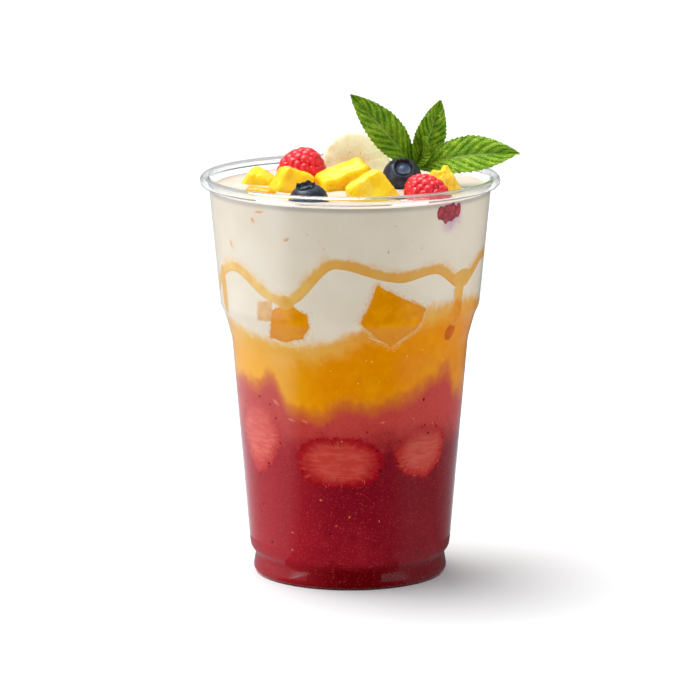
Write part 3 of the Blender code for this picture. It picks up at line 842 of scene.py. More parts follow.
def strawberries():
    """The slices, with the pits that the seeds leave in their skin and a few pale hairs at the foot."""
    pit = plain("Strawberry pit", 0.5, rgb(120, 8, 22), rgb(148, 18, 30))
    hair = plain("Strawberry hair", 0.5, rgb(226, 140, 116), rgb(210, 96, 80))
    draw = random.Random(11)
    pits, hairs = [], []
    for node, (centre, half, depth, lean, point, square) in STRAWBERRIES.items():
        outline = oval(*half, 0.08, point, square)
        flesh = strawberry_finish(node.replace("_", " "), *SLICE_TINTS[node])
        slice_mesh = wall_patch(node, centre, outline, depth, lean)
        piece(node.replace("slice", "cut"), slice_mesh, flesh, node)
        for i in range(11):
            turn = 2 * math.pi * (i + draw.uniform(-0.4, 0.4)) / 11
            reach = outline(turn) * draw.uniform(0.86, 0.95)
            spot = on_face(*leaned(centre, reach, turn, lean), FRUIT_PROUD)
            (hairs if i % 3 == 1 and math.sin(turn) < 0 else pits).append(spot)
    scattered("strawberry_pits", pits, pit, (0.9, 0.6, 0.12), 3)
    scattered("strawberry_hairs", hairs, hair, (1.5, 0.16, 0.12), 6)


# Corners of each cube's face at the wall, and of the sides that slant away from it: degrees and height
WALL_CUBES = {
    "wall_mango_left": [
        (-35.8, 90), (-32, 91.5), (-25.9, 91.9), (-19.5, 89.7), (-18.6, 86), (-22.7, 82), (-31.5, 80.2),
        (-39.3, 81.2),
    ],
    "wall_mango_right": [
        (11.9, 98.9), (20, 95.8), (34.5, 90.7), (30.5, 84.8), (20, 79.9), (12.8, 82.6), (5.2, 87.3),
    ],
}
FAINT_SIDES = {
    "faint_side_left": [(-45, 92.6), (-35, 94), (-35, 86.2), (-45.8, 85.7)],
    "faint_side_right": [(26, 95.4), (36, 91), (34.4, 86.4), (28, 90)],
}

# Pale lines in the mango under the cubes: name, centre, half sizes and lean
POOLS = (
    ("corner_line_left", (-31, 79.6), (5.4, 0.45), 4),
    ("corner_line_right", (12.6, 81.5), (6, 0.5), 24),
)


def soft_edged(name, deep, pale, edge, feather=0.12, size=0.9, strength=1.0, shoulder=0.0):
    """Fruit or sauce that shows through the wall. Its colour changes unevenly towards its outline, where it
    melts into the layer unless its strength is 0. Under the cup's shoulder it is paler by a share."""
    made, tree, place = wall_finish(name)
    out = from_middle(tree)[0]
    wide = grain(place, 4)
    fine = grain(place, size, 3)
    reach = times_plus(fine, 2 * feather, maths("ADD", out, -feather))
    colour = over(
        deep,
        (fade(wide, 0.35, 0.65), pale),
        (fade(fine, 0.56, 0.72, 0, 0.25), edge),
        (fade(reach, max(0.94 - 2.4 * feather, 0.2), 0.98), edge),
        (fade(parts_of(place)[2], 86.6, 85.4, 0, shoulder), rgb(232, 152, 78)),
    )
    if not strength:
        return coloured(made, colour)
    return melted(made, place, fade(reach, 1.0 - feather * 0.7, 1.0 - feather * 1.8, 0, strength), colour)


def grown(corners, centre, by):
    """The corners moved out from their centre by a share, for an edge that thins out."""
    return [(centre[0] + (a - centre[0]) * by, centre[1] + (h - centre[1]) * by) for a, h in corners]


def middle_of(corners):
    """The mean of some corners."""
    return (sum(a for a, _ in corners) / len(corners), sum(h for _, h in corners) / len(corners))


def slab(name, corners, by, depth, look, proud=FRUIT_PROUD, node=None):
    """A cut face of mango at the wall, with its corners moved out from their centre by a share."""
    centre = middle_of(corners)
    outline = polygon(grown(corners, centre, by), centre)
    piece(name, wall_patch(name, centre, outline, depth, proud=proud), look, node)


def ovals(rows, look, slot, ruffle, depth, proud, *steps):
    """Small oval pieces at the wall, each a name, its centre, its half sizes and its lean."""
    for name, centre, half, lean in rows:
        mesh = wall_patch(name, centre, oval(*half, ruffle), depth, lean, proud, *steps)
        piece(name, mesh, look)


def wall_mango():
    """The cubes pressed against the wall, with their fainter sides that slant back into the yoghurt."""
    flesh = soft_edged(
        "Mango at the wall", rgb(242, 148, 0), rgb(252, 166, 2), rgb(242, 152, 24), 0.06, 0.7, 0, 0.4
    )
    halo = soft_edged(
        "Mango halo", rgb(240, 174, 96), rgb(244, 188, 120), rgb(246, 204, 150), 0.22, 0.9, 0.85
    )
    side = soft_edged(
        "Mango behind yoghurt", rgb(236, 168, 84), rgb(242, 190, 120), rgb(246, 214, 170), 0.16, 1.6, 0.9
    )
    rim = soft_edged(
        "Yoghurt in the corner", rgb(248, 214, 166), rgb(248, 200, 132), rgb(246, 184, 96), 0.35, 0.8, 0.8
    )
    for node, corners in WALL_CUBES.items():
        name = node.replace("wall", "pressed")
        slab(name + "_halo", corners, 1.55, 1, halo, 0.03)
        slab(name, corners, 1.04, 5, flesh, node=node)
    for name, corners in FAINT_SIDES.items():
        slab(name, corners, 1.12, 1, side, 0.04)
    ovals(POOLS, rim, "mango_sauce", 0.15, 0.6, 0.07)


def sauce_finish():
    """Mango sauce thinned by the yoghurt: crisp along its foot, it fades out unevenly along its top."""
    made, tree, place = wall_finish("Mango sauce")
    along_foot = stored(tree, "across")
    across = maths("ADD", along_foot, times_plus(grain(place, 1.8, 3), 1.3, -0.65))
    thick = grain(place, 5)
    sauce = over(
        rgb(252, 206, 112),
        # Painted light: paler on the left side, more orange from the middle to the right.
        (fade(parts_of(place)[0], -30, 5), rgb(240, 180, 88)),
        (fade(thick, 0.4, 0.62, 0, 0.4), rgb(244, 170, 66)),
        (fade(along_foot, -0.6, -1.1, 0, 0.4), rgb(234, 160, 60)),
    )
    haze = times(fade(across, 2.3, 1.2), fade(thick, 0.36, 0.6, 0.05, 0.4))
    upper = maths("MAXIMUM", fade(across, 1.5, 0.4), haze)
    share = times(upper, fade(along_foot, -1.2, -1.0))
    return melted(made, place, share, sauce)


# Half the height of the sauce line, and the mean radius it runs at
RIBBON_HALF = 1.6
RIBBON_RADIUS = 43


def ribbon():
    """The sauce line round the wall: its cross-section, run round the cup."""
    section = [(-1.25 + 0.3 * i, 0) for i in range(13)] + [(2, 0.4), (0.7, 1), (-0.4, 1), (-1.1, 0.4)]
    rings, across = [], []
    for up, depth in section + section[:1]:
        ring = []
        for step in range(540):
            angle = 360 * step / 540
            rise = wave(angle + 1, RIBBON_TURNS) - wave(angle - 1, RIBBON_TURNS)
            slope = rise / (2 * math.radians(1) * RIBBON_RADIUS)
            spot = at(angle, 20, 0)
            half = RIBBON_HALF * math.sqrt(1 + slope * slope) * (1 + ragged(spot, 3, 0.12))
            level = wave(angle, RIBBON_TURNS) + up * half + ragged(spot, 5, 0.3)
            edge = 0.1 if up == -1.25 else 0
            ring.append(at(angle, wall(level) + 0.06 - edge - depth, level))
            across.append(up)
        rings.append(ring)
    mesh = mark_lines(skin("sauce_line", rings))
    attribute(mesh, "across", across)
    piece("sauce_line", joined(mesh, 1e-4), sauce_finish(), "mango_ribbon")


# Drips from the sauce line and flecks of sauce: name, centre in degrees and height, half sizes and lean
DRIPS = (
    ("sauce_drip_top", (56.8, 98.7), (5, 2.9), 0),
    ("sauce_drip", (54.9, 95), (2.4, 5), 1),
    ("sauce_leg", (-71.5, 93.5), (2.3, 8), 0),
)
THICK_DRIPS = (("sauce_drip_low", (54.9, 88.6), (2.4, 5.4), 1),)
DARK_DROPS = (("sauce_drop", (53.4, 81.6), (2.4, 2.8), 12),)
FLECKS = (
    ("fleck_smear_high", (-39.8, 121.2), (3.5, 0.75), -8),
    ("fleck_smear_low", (-43.4, 118.2), (1.2, 1.8), -24),
    ("fleck_middle", (-27, 113.3), (1.8, 0.9), -22),
    ("fleck_curve", (-59.4, 109.2), (0.9, 2.6), -28),
    ("fleck_small_a", (-17.6, 115.3), (0.5, 0.45), 0),
    ("fleck_small_b", (-10.6, 111), (0.5, 0.6), 0),
    ("fleck_small_c", (16, 109.9), (0.55, 1), 0),
    ("fleck_small_d", (18.6, 118), (0.7, 0.4), 0),
    ("fleck_small_e", (-13, 113.4), (0.35, 0.4), 0),
    ("fleck_small_f", (26, 113), (0.35, 0.35), 0),
    ("fleck_small_g", (31, 110.4), (0.4, 0.5), 0),
)
# Corners of the bit of mango in the line's bend
BEND = [(-33.4, 93.6), (-29.5, 95.6), (-25.5, 94.6), (-24.6, 92.4), (-28, 90.8), (-32, 91.4)]


def sauce_bits():
    """The drips, the darker drop under them, the flecks, and the bit of mango in the sauce line's bend."""
    drip = soft_edged("Running sauce", rgb(240, 180, 88), rgb(246, 188, 96), rgb(244, 184, 92), 0.1, 1, 0)
    thick = soft_edged("Thick sauce", rgb(236, 142, 12), rgb(244, 158, 30), rgb(240, 164, 60), 0.1, 1, 0)
    dark = soft_edged("Dark sauce", rgb(212, 98, 10), rgb(224, 112, 18), rgb(216, 110, 24), 0.1, 0.8, 0)
    bit = soft_edged("Mango in the bend", rgb(238, 170, 56), rgb(244, 184, 82), rgb(244, 186, 88), 0.2, 0.8, 0)
    fleck = soft_edged("Sauce fleck", rgb(240, 172, 92), rgb(232, 158, 90), rgb(246, 206, 150), 0.4, 0.7, 0.8)
    for look, rows in ((drip, DRIPS), (thick, THICK_DRIPS), (dark, DARK_DROPS), (fleck, FLECKS)):
        ovals(rows, look, "mango_sauce", 0.12, 0.5, 0.08, 40, 8)
    slab("mango_bit", BEND, 1, 0.8, bit, 0.08)


# Faint lines that show through the wall: start, bend and end in degrees and height, and half width
PALE_LINES = (
    ("cube_foot_line", ((-38.2, 81), (-30, 76.9), (-18.6, 80.6)), 0.7),
    ("cube_side_line", ((-17.2, 86.5), (-16.6, 82), (-20, 79.6)), 0.5),
)
# Pale pulp in the upper berry layer: name, centre in degrees and height, half sizes and lean
PULP = (
    ("pale_pulp_high", (-40, 59.8), (3, 1.3), 36),
    ("pale_pulp_low", (-31, 54.8), (2.4, 0.9), 18),
    ("pale_pulp_middle", (-23.6, 54.8), (2.6, 0.8), 20),
    ("pale_pulp_right", (16.6, 54.8), (2, 0.7), -8),
)


def stroke(name, line, half_width, look):
    """A thin line at the wall that tapers to both ends, along a bend through three points."""
    start, bend, end = (Vector(point) for point in line)
    rows = 24
    rings, across_line = [], []
    for i in range(rows + 1):
        share = i / rows
        spot = start.lerp(bend, share).lerp(bend.lerp(end, share), share)
        ahead = (bend - start).lerp(end - bend, share)
        radius = wall(spot.y)
        if i in (0, rows):
            rings.append([at(spot.x, radius, spot.y)])
            across_line.append(1)
            continue
        along = Vector((math.radians(ahead.x) * radius, ahead.y)).normalized()
        reach = half_width * math.sqrt(1 - (2 * share - 1) ** 2)
        reach *= 1 + ragged(at(spot.x, 20, spot.y), 0.8, 0.5)
        ring = []
        across_line += [1, 0, 1, 0]
        for side, proud in ((1, 0.04), (0, 0.1), (-1, 0.04), (0, -0.1)):
            across = -side * along.y * reach
            level = spot.y + side * along.x * reach
            ring.append(at(spot.x + math.degrees(across / radius), wall(level) + proud, level))
        rings.append(ring)
    mesh = mark_lines(skin(name, rings))
    attribute(mesh, "across", across_line)
    piece(name, mesh, look)


def line_finish(name, tint):
    """A faint, broken line that melts into the layer on both sides."""
    made, tree, place = wall_finish(name)
    away = times_plus(grain(place, 0.9, 3), 1.4, stored(tree, "across"))
    return melted(made, place, fade(away, 1.6, 0.5, 0, 0.75), tint)


def faint_marks():
    """The pale outline under the left cube, and pale pulp near the top of the berry layer."""
    pale = line_finish("Yoghurt line", rgb(252, 222, 160))
    for name, line, half_width in PALE_LINES:
        stroke(name, line, half_width, pale)
    pulp = soft_edged("Pale pulp", rgb(224, 126, 98), rgb(232, 150, 116), rgb(216, 100, 84), 0.5, 0.6, 0.75)
    ovals(PULP, pulp, "berry_puree", 0.3, 0.4, 0.03, 40, 8)


# The torn raspberry's long drupelets: angle, height and half height
TORN_DRUPELETS = ((39.4, 120.9, 2.2), (42.7, 119.9, 2.7), (46, 120.7, 3), (49.4, 121, 2.3))


def raspberry_at_wall():
    """A torn piece of raspberry: a few long drupelets side by side against the wall."""
    made, tree = finish("Raspberry at the wall", 0.3, Specular_IOR_Level=0.3)
    shade = grain(place_in_mm(tree), 1.4)
    colour = over(
        rgb(166, 18, 38),
        (fade(shade, 0.4, 0.62), rgb(204, 52, 70)),
        (fade(from_middle(tree)[0], 0.55, 1.0, 0, 0.8), rgb(128, 10, 38)),
    )
    tree.links.new(colour, shader_of(made).inputs["Base Color"])
    back = wall_patch("torn_raspberry", (44.2, 120.6), oval(4.4, 2.7, 0.1), 3, proud=0.03)
    piece("torn_raspberry", back, made, "raspberry_piece")
    for number, (angle, height, half_height) in enumerate(TORN_DRUPELETS):
        name = f"torn_drupelet_{number}"
        outline = oval(1.25, half_height, 0.06)
        piece(name, wall_patch(name, (angle, height), outline, 2.4, 4, 0.09, 40, 8), made)


# What lies on top

def turned(spot, turn):
    """The place and turn of a topping: a spot in millimetres, and its turns in degrees."""
    return Matrix.Translation(Vector(spot)) @ Euler([math.radians(a) for a in turn]).to_matrix().to_4x4()


def remeshed(name, node, voxel, smooth):
    """A copy of a CAD node's mesh with even faces and worn edges."""
    obj = helper(name, joined(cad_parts[node].data.copy(), 0.01))
    even = obj.modifiers.new("Even", "REMESH")
    even.mode = "VOXEL"
    even.voxel_size = voxel * MM
    soft = obj.modifiers.new("Soft", "SMOOTH")
    soft.iterations = smooth
    soft.factor = 0.5
    bpy.context.view_layer.update()
    return evaluated(obj, name)


def pushed(mesh, lift):
    """Moves each point along its normal by lift, a function of the point in millimetres."""
    moves = [lift(vertex.co / MM) * MM * vertex.normal for vertex in mesh.vertices]
    for vertex, move in zip(mesh.vertices, moves):
        vertex.co += move
    return mesh


def fibrous(along, coarse, fine):
    """Relief for cut fruit: broad dents, and fine ribs that run along a direction."""
    turn = Vector(along).to_track_quat("Z", "Y").inverted()

    def lift(spot):
        line = turn @ spot
        ribs = noise.noise(Vector((line.x * 1.3, line.y * 1.3, line.z * 0.12)))
        return coarse * noise.noise(spot / 4.5) + fine * ribs

    return lift


def cut_mango(name, deep, pale):
    """Mango flesh: golden, faintly fibrous and wet."""
    made, tree = finish(
        name, 0.25, Specular_IOR_Level=0.22, Coat_Weight=0.1, Coat_Roughness=0.12,
        Subsurface_Weight=0.12, Subsurface_Radius=(1.0, 0.6, 0.15), Subsurface_Scale=1.6 * MM,
    )
    place = place_in_mm(tree)
    fibres = grain(place, 0.8, 3, (1, 0.3, 0.6))
    shade = times_plus(grain(place, 5), 0.7, times(fibres, 0.3))
    height = use(WET, {"Place": place, "Swell": 2.2, "Grain": 0.5, "Grain Share": 0.4})["Height"]
    colour = ramp(shade, [(0.36, deep), (0.62, pale)])
    return coloured(made, colour, times_plus(fibres, 0.5, height), 0.25)


def mangoes():
    """The cut mango, each chunk with its own fibres."""
    golden = cut_mango("Golden mango", rgb(255, 188, 0), rgb(255, 210, 18))
    pale = cut_mango("Pale mango", rgb(255, 204, 4), rgb(255, 222, 56))
    amber = cut_mango("Amber mango", rgb(248, 150, 0), rgb(254, 184, 10))
    chunks = {
        "mango_chunk_left": (pale, (0.3, 0.2, 1), 0.3),
        "mango_chunk_orange": (golden, (0.6, 0.3, 0.7), 0.32),
        "mango_chunk_long": (golden, (1, -0.4, 0.2), 0.36),
        "mango_chunk_front": (pale, (0.5, 0.3, 0.8), 0.34),
        "mango_sliver": (amber, (1, 0.2, 0.1), 0.25),
    }
    for node, (flesh, along, voxel) in chunks.items():
        name = node.replace("mango", "cut_mango")
        mesh = pushed(remeshed(name, node, voxel, 16), fibrous(along, 0.7, 0.16))
        piece(name, mesh, flesh, node)


def pineapple():
    """The stepped wedge: its fibres stand as ribs, and its cut cells make small steps along its top."""
    made, tree = finish(
        "Pineapple", 0.3, Coat_Weight=0.3, Coat_Roughness=0.15,
        Subsurface_Weight=0.2, Subsurface_Radius=(1, 0.75, 0.25), Subsurface_Scale=2 * MM,
    )
    place = place_in_mm(tree)
    fibres = grain(place, 0.9, 3, (1, 1, 0.25))
    cells = grain(place, 2.6)
    both = maths("ADD", fibres, cells)
    stops = [(0.36, rgb(246, 192, 10)), (0.5, rgb(255, 214, 30)), (0.64, rgb(255, 228, 80))]
    coloured(made, ramp(times(both, 0.5), stops), both, 0.3)

    def lift(spot):
        steps = abs(math.sin(spot.x * 1.25 + 0.6 * math.sin(spot.y * 0.7)))
        ribs = noise.noise(Vector((spot.x * 1.5, spot.y * 1.5, spot.z * 0.25)))
        return 0.22 * steps * (spot.z > 126) + 0.22 * ribs + 0.3 * noise.noise(spot / 2.2)

    mesh = pushed(remeshed("pineapple_wedge", "pineapple_chunk", 0.3, 2), lift)
    piece("pineapple_wedge", mesh, made, "pineapple_chunk")


def raspberry_finish(name, dark, bright):
    """Raspberry skin: glossy, translucent drupelets, a little uneven in their red."""
    made, tree = finish(
        name, 0.35, Specular_IOR_Level=0.35, Coat_Weight=0.2, Coat_Roughness=0.1,
        Subsurface_Weight=0.25, Subsurface_Radius=(1, 0.12, 0.1), Subsurface_Scale=1.2 * MM,
    )
    place = place_in_mm(tree)
    fine = grain(place, 0.5)
    colour = ramp(grain(place, 3), [(0.36, dark), (0.6, bright)])
    # Pale pink flecks: partly the skin's uneven colour, partly painted pink highlight.
    colour = over(colour, (fade(fine, 0.56, 0.75, 0, 0.3), rgb(246, 90, 110)))
    return coloured(made, colour, fine, 0.06)


# Centre, radius, half height and turns in degrees
RASPBERRIES = {
    "raspberry_back": ((-15.2, 12.8, 126.4), 7.5, 7.7, (12, 16, 20)),
    "raspberry_front": ((23.9, -21.8, 123.7), 6.6, 7.6, (-20, -38, 10)),
}


def raspberries():
    """Each berry: a narrowing core, and rows of drupelets set into it, staggered as they grow."""
    skin_finish = raspberry_finish("Raspberry", rgb(212, 10, 28), rgb(238, 34, 50))
    # The core shows only in the gaps between the drupelets, and its darker red is painted shade there.
    core_shade_finish = raspberry_finish("Raspberry core", rgb(130, 2, 16), rgb(150, 6, 20))
    for number, (node, (spot, radius, half, turn)) in enumerate(RASPBERRIES.items()):
        draw = random.Random(number + 2)
        where = turned(spot, turn)

        def body(latitude, around, proud=0.0):
            high = math.sin(latitude)
            reach = radius * math.cos(latitude) * (1 - 0.14 * max(high, 0))
            out = Vector((math.cos(latitude) * math.cos(around), math.cos(latitude) * math.sin(around), high))
            return Vector((reach * math.cos(around), reach * math.sin(around), half * high)) + out * proud

        rings = []
        for i in range(25):
            latitude = math.radians(-90 + 7.5 * i)
            steps = 1 if i in (0, 24) else 48
            rings.append([where @ body(latitude, around, -0.75) for around in turns(steps)])
        piece(node + "_core", skin(node + "_core", rings), core_shade_finish)
        spots = []
        for row in range(9):
            latitude = math.radians(84 - 19.5 * row)
            count = max(3, round(2 * math.pi * radius * math.cos(latitude) / 2.75))
            for i in range(count):
                around = 2 * math.pi * (i + 0.5 * (row % 2) + draw.uniform(-0.08, 0.08)) / count
                up = latitude + math.radians(draw.uniform(-2, 2))
                out = (body(up, around, 1) - body(up, around)).normalized()
                spots.append((where @ body(up, around, -0.6), where.to_3x3() @ out))
        name = node + "_drupelets"
        cover = scattered(name, spots, skin_finish, (3.8, 3.6, 2.6), number + 4, 0.07)
        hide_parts(node)


BLUEBERRIES = {
    "blueberry_front": ((-12.8, -29, 123.4), 6.3, (10, -10, 0)),
    "blueberry_back": ((16.4, -1.4, 127.1), 6.2, (46, 6, 0)),
}


# The crown's profile as shares of the radius: reach, height, how far its lobes stand up, and its mark
CROWN = (
    (0.485, 0.8, 0.35, 1.3), (0.5, 0.845, 0.75, 1.5), (0.475, 0.865, 1, 1.6), (0.43, 0.84, 0.9, 1.6),
    (0.4, 0.78, 0.4, 1.4), (0.36, 0.735, 0, 0.9), (0.27, 0.72, 0, 0.7), (0.18, 0.735, 0, 0.6),
    (0.1, 0.74, 0, 0.6), (0.06, 0.765, 0, 0.8), (0, 0.77, 0, 0.9),
)


def blueberry_finish():
    """Blueberry skin: blue-black under a pale bloom that is rubbed off in patches."""
    made, tree = finish("Blueberry", 0.4, Specular_IOR_Level=0.5)
    place = place_in_mm(tree)
    patches = grain(place, 3.5, 4)
    dust = grain(place, 0.35)
    crown = stored(tree, "crown")
    bloom = times_plus(dust, 0.35, times(patches, 0.65))
    colour = over(
        ramp(bloom, [(0.38, rgb(10, 12, 22)), (0.52, rgb(19, 26, 44)), (0.66, rgb(50, 66, 96))]),
        (fade(crown, 0.2, 0.6, 0, 0.7), rgb(66, 88, 122)),
        (fade(crown, 0.92, 1.15), rgb(14, 12, 18)),
    )
    tree.links.new(fade(patches, 0.4, 0.6, 0.3, 0.55), shader_of(made).inputs["Roughness"])
    return coloured(made, colour, dust, 0.05)


def blueberries():
    """A flattened ball with a ragged five-pointed crown round a dusty dimple."""
    look = blueberry_finish()
    for node, (spot, radius, turn) in BLUEBERRIES.items():
        where = turned(spot, turn)
        line = []
        for i in range(31):
            latitude = math.radians(-90 + 4.8 * i)
            if math.cos(latitude) < 0.5 and latitude > 0:
                break
            line.append((math.cos(latitude), 0.93 * math.sin(latitude), 0, 0))
        rings, marks = [], []
        for reach, height, lobe, mark in (*line, *CROWN):
            ring = []
            for around in turns(90 if reach > 1e-6 else 1):
                x, y = math.cos(around), math.sin(around)
                shown = max(math.cos(5 * around), 0) ** 0.6
                rise = (0.3 + 0.7 * shown) * 0.11 * radius * lobe
                torn = 0.35 * lobe * noise.noise(Vector((3 * x, 3 * y, radius)))
                spot = Vector((reach * radius * x, reach * radius * y, height * radius + rise + torn))
                ring.append(where @ spot)
                marks.append(mark)
            rings.append(ring)
        mesh = skin(node + "_fruit", rings)
        attribute(mesh, "crown", marks)
        piece(node + "_fruit", mesh, look, node)


# Centre, radius, thickness and turns in degrees
BANANA = ((1.6, 24, 126), 11, 7.5, (66, 0, 4))


def banana():
    """A thick slice on its edge, its face with three soft lobes, a tan middle and small seeds."""
    spot, radius, thick, turn = BANANA
    where = turned(spot, turn)
    profile = [(share, 0) for share in (0, 0.1, 0.2, 0.3, 0.4, 0.5, 0.6, 0.7, 0.8, 0.88, 0.93)]
    profile += [(0.965, 0.15), (0.988, 0.5), (1, 1.1), (1, 2), (1, 3), (1, 3.75)]
    line = [(share, -thick / 2 + depth) for share, depth in profile]
    line += [(share, thick / 2 - depth) for share, depth in reversed(profile[:-1])]
    rings, places = [], []
    for share, height in line:
        ring = []
        for around in turns(144 if share else 1):
            reach = share * radius * (1 + 0.02 * math.cos(3 * around + 0.5))
            x, y = reach * math.cos(around), reach * math.sin(around)
            dent = 0.25 * noise.noise(Vector((x / 2.5, y / 2.5, height)))
            dent -= 0.35 * math.exp(-((share / 0.3) ** 2))
            ring.append(where @ Vector((x, y, height + dent * (1 if height > 0 else -1))))
            places.append((0.5 + 0.5 * x / radius, 0.5 + 0.5 * y / radius))
        rings.append(ring)
    mesh = skin("banana_round", rings)
    plane_map(mesh, places)
    made, tree = finish(
        "Banana", 0.4, Specular_IOR_Level=0.4,
        Subsurface_Weight=0.25, Subsurface_Radius=(1, 0.8, 0.5), Subsurface_Scale=2 * MM,
    )
    out, _, flat = from_middle(tree)
    mottle = grain(place_in_mm(tree), 1.2, 3)
    seeds = fade(grain(flat, 0.07, 2, (1, 0.3, 1)), 0.58, 0.68)
    colour = over(
        ramp(mottle, [(0.35, rgb(255, 240, 192)), (0.65, rgb(255, 248, 216))]),
        (fade(times_plus(mottle, 0.4, out), 0.95, 0.4, 0, 0.7), rgb(246, 208, 144)),
        (times(seeds, fade(out, 0.5, 0.3, 0, 0.75)), rgb(150, 100, 50)),
    )
    piece("banana_round", mesh, coloured(made, colour, mottle, 0.15), "banana_slice")


STEM_FOOT = Vector((20.4, 9.4, 118.5))
STEM_TOP = Vector((20.4, 9.2, 128.6))
STEM_RADIUS = 1.2
# Tip, the way it faces, half width and bow of each leaf
LEAVES = (
    ((0, 5, 152.3), (0.25, -0.85, 0.3), 5.6, 1.6),
    ((28.4, 13, 149.6), (0.5, -0.8, 0.2), 5.2, 1.8),
    ((24, 3.5, 139.3), (-0.3, -0.6, 0.7), 3.9, -1.6),
    ((53.8, 6, 133.3), (-0.1, -0.8, 0.62), 6.4, 3),
)
LEAF_TEETH = 20
LEAF_VEINS = 8
LEAF_THICK = 0.32


def leaf(tip, facing, half_width, bow):
    """A quilted, toothed mint leaf from the stem's top, folded along its midrib and bowed."""
    along = Vector(tip) - STEM_TOP
    length = along.length
    along.normalize()
    across = Vector(facing).cross(along).normalized()
    up = along.cross(across)
    rows, columns = 102, 15
    bm = bmesh.new()
    surface = bm.loops.layers.uv.new("Surface")
    grid = []
    for i in range(rows + 1):
        share = i / rows
        swell = math.sin(math.pi * min(share, 0.997)) ** 0.85
        saw = (share * LEAF_TEETH) % 1
        line = []
        for j in range(-columns, columns + 1):
            side = j / columns
            tooth = 1 + 0.1 * (saw - 0.5) * max(abs(side) - 0.7, 0) / 0.3 * (0.05 < share < 0.97)
            width = half_width * swell * tooth + 0.45 * (1 - share)
            vein = (share * (LEAF_VEINS + 2) - abs(side) ** 1.2 * 2.4) % 1
            quilt = math.sin(math.pi * vein) ** 0.7 * min(abs(side) * 4, 1) * (1 - abs(side) ** 6)
            pucker = noise.noise(Vector((share * length / 1.7, side * width / 1.7, half_width)))
            fold = 0.16 * half_width * abs(side) - 0.25 * math.exp(-((side / 0.07) ** 2))
            bend = -bow * math.sin(math.pi * share) * (1 if bow > 0 else 1.4)
            wave_up = 0.35 * math.sin(9 * share + 2 * side) * abs(side)
            lift = fold - bend + wave_up + 0.55 * quilt * swell + 0.3 * pucker * min(abs(side) * 3, 1)
            spot = STEM_TOP + along * share * length + across * side * width + up * lift
            line.append(bm.verts.new(spot))
        grid.append(line)
    for i in range(rows):
        for j in range(2 * columns):
            face = bm.faces.new((grid[i][j], grid[i][j + 1], grid[i + 1][j + 1], grid[i + 1][j]))
            for loop, (u, v) in zip(face.loops, ((i, j), (i, j + 1), (i + 1, j + 1), (i + 1, j))):
                loop[surface].uv = (u / rows, v / (2 * columns))
    return mesh_of(bm, "blade")


def mint_finish():
    """Mint leaf: painted shade in its sunken veins and creases, painted light on its puckers, a pale midrib.
    """
    made, tree = finish(
        "Mint", 0.45, Specular_IOR_Level=0.25,
        Subsurface_Weight=0.1, Subsurface_Radius=(0.3, 1, 0.1), Subsurface_Scale=0.8 * MM,
    )
    along, across, _ = parts_of(put(tree, "ShaderNodeUVMap", uv_map="Surface").outputs[0])
    place = place_in_mm(tree)
    side = maths("ABSOLUTE", times_plus(across, 2.0, -1.0))
    bent = times(maths("POWER", side, 1.2), 2.4)
    vein = maths("FRACT", maths("SUBTRACT", times(along, LEAF_VEINS + 2), bent))
    from_vein = maths("MINIMUM", vein, maths("SUBTRACT", 1.0, vein))
    cells = put(tree, "ShaderNodeTexVoronoi", {"Vector": place, "Scale": 1.1}, feature="DISTANCE_TO_EDGE")
    net = cells.outputs["Distance"]
    greens = [(0.34, rgb(98, 146, 2)), (0.5, rgb(122, 168, 10)), (0.66, rgb(158, 196, 38))]
    colour = over(
        ramp(grain(place, 3.5), greens),
        # Painted shade in the net of creases, painted light on the puckers between the veins, painted shade in
        # the sunken veins.
        (fade(net, 0.12, 0.0, 0, 0.6), rgb(56, 108, 4)),
        (fade(from_vein, 0.2, 0.5, 0, 0.35), rgb(170, 208, 60)),
        (fade(from_vein, 0.08, 0.0, 0, 0.4), rgb(64, 112, 4)),
        (fade(side, 0.08, 0.03, 0, 0.85), rgb(184, 206, 110)),
    )
    height = maths("ADD", fade(net, 0, 0.2), fade(from_vein, 0, 0.3))
    return coloured(made, colour, height, 0.2)


def mint():
    """The sprig: four leaves from the top of one short stem."""
    whole = bmesh.new()
    whole.loops.layers.uv.new("Surface")
    for shape in LEAVES:
        sheet = helper("blade", leaf(*shape))
        shell = sheet.modifiers.new("Thick", "SOLIDIFY")
        shell.thickness = LEAF_THICK * MM
        shell.offset = 0
        bpy.context.view_layer.update()
        whole.from_mesh(evaluated(sheet, "blade"))
    rings = [[STEM_FOOT]]
    for i in range(13):
        level = STEM_FOOT + (STEM_TOP - STEM_FOOT) * i / 12
        reach = STEM_RADIUS * (1 + 0.08 * math.sin(2.4 * i) - 0.1 * i / 12)
        ring = []
        for around in turns(24):
            square = 1 + 0.08 * math.cos(4 * around)
            ring.append(level + reach * square * Vector((math.cos(around), math.sin(around), 0)))
        rings.append(ring)
    rings.append([STEM_TOP + Vector((0, 0, 0.5))])
    whole.from_mesh(skin("stem", rings))
    mesh = bpy.data.meshes.new("mint_leaves")
    whole.to_mesh(mesh)
    whole.free()
    piece("mint_leaves", mesh, mint_finish(), "mint_sprig")


# The room

# The photograph's width and the camera's focal length, both in pixels, and how far it looks down in radians
FRAME_WIDTH = 700
CAMERA_REACH = 4483.1
CAMERA_DOWN = 0.19245


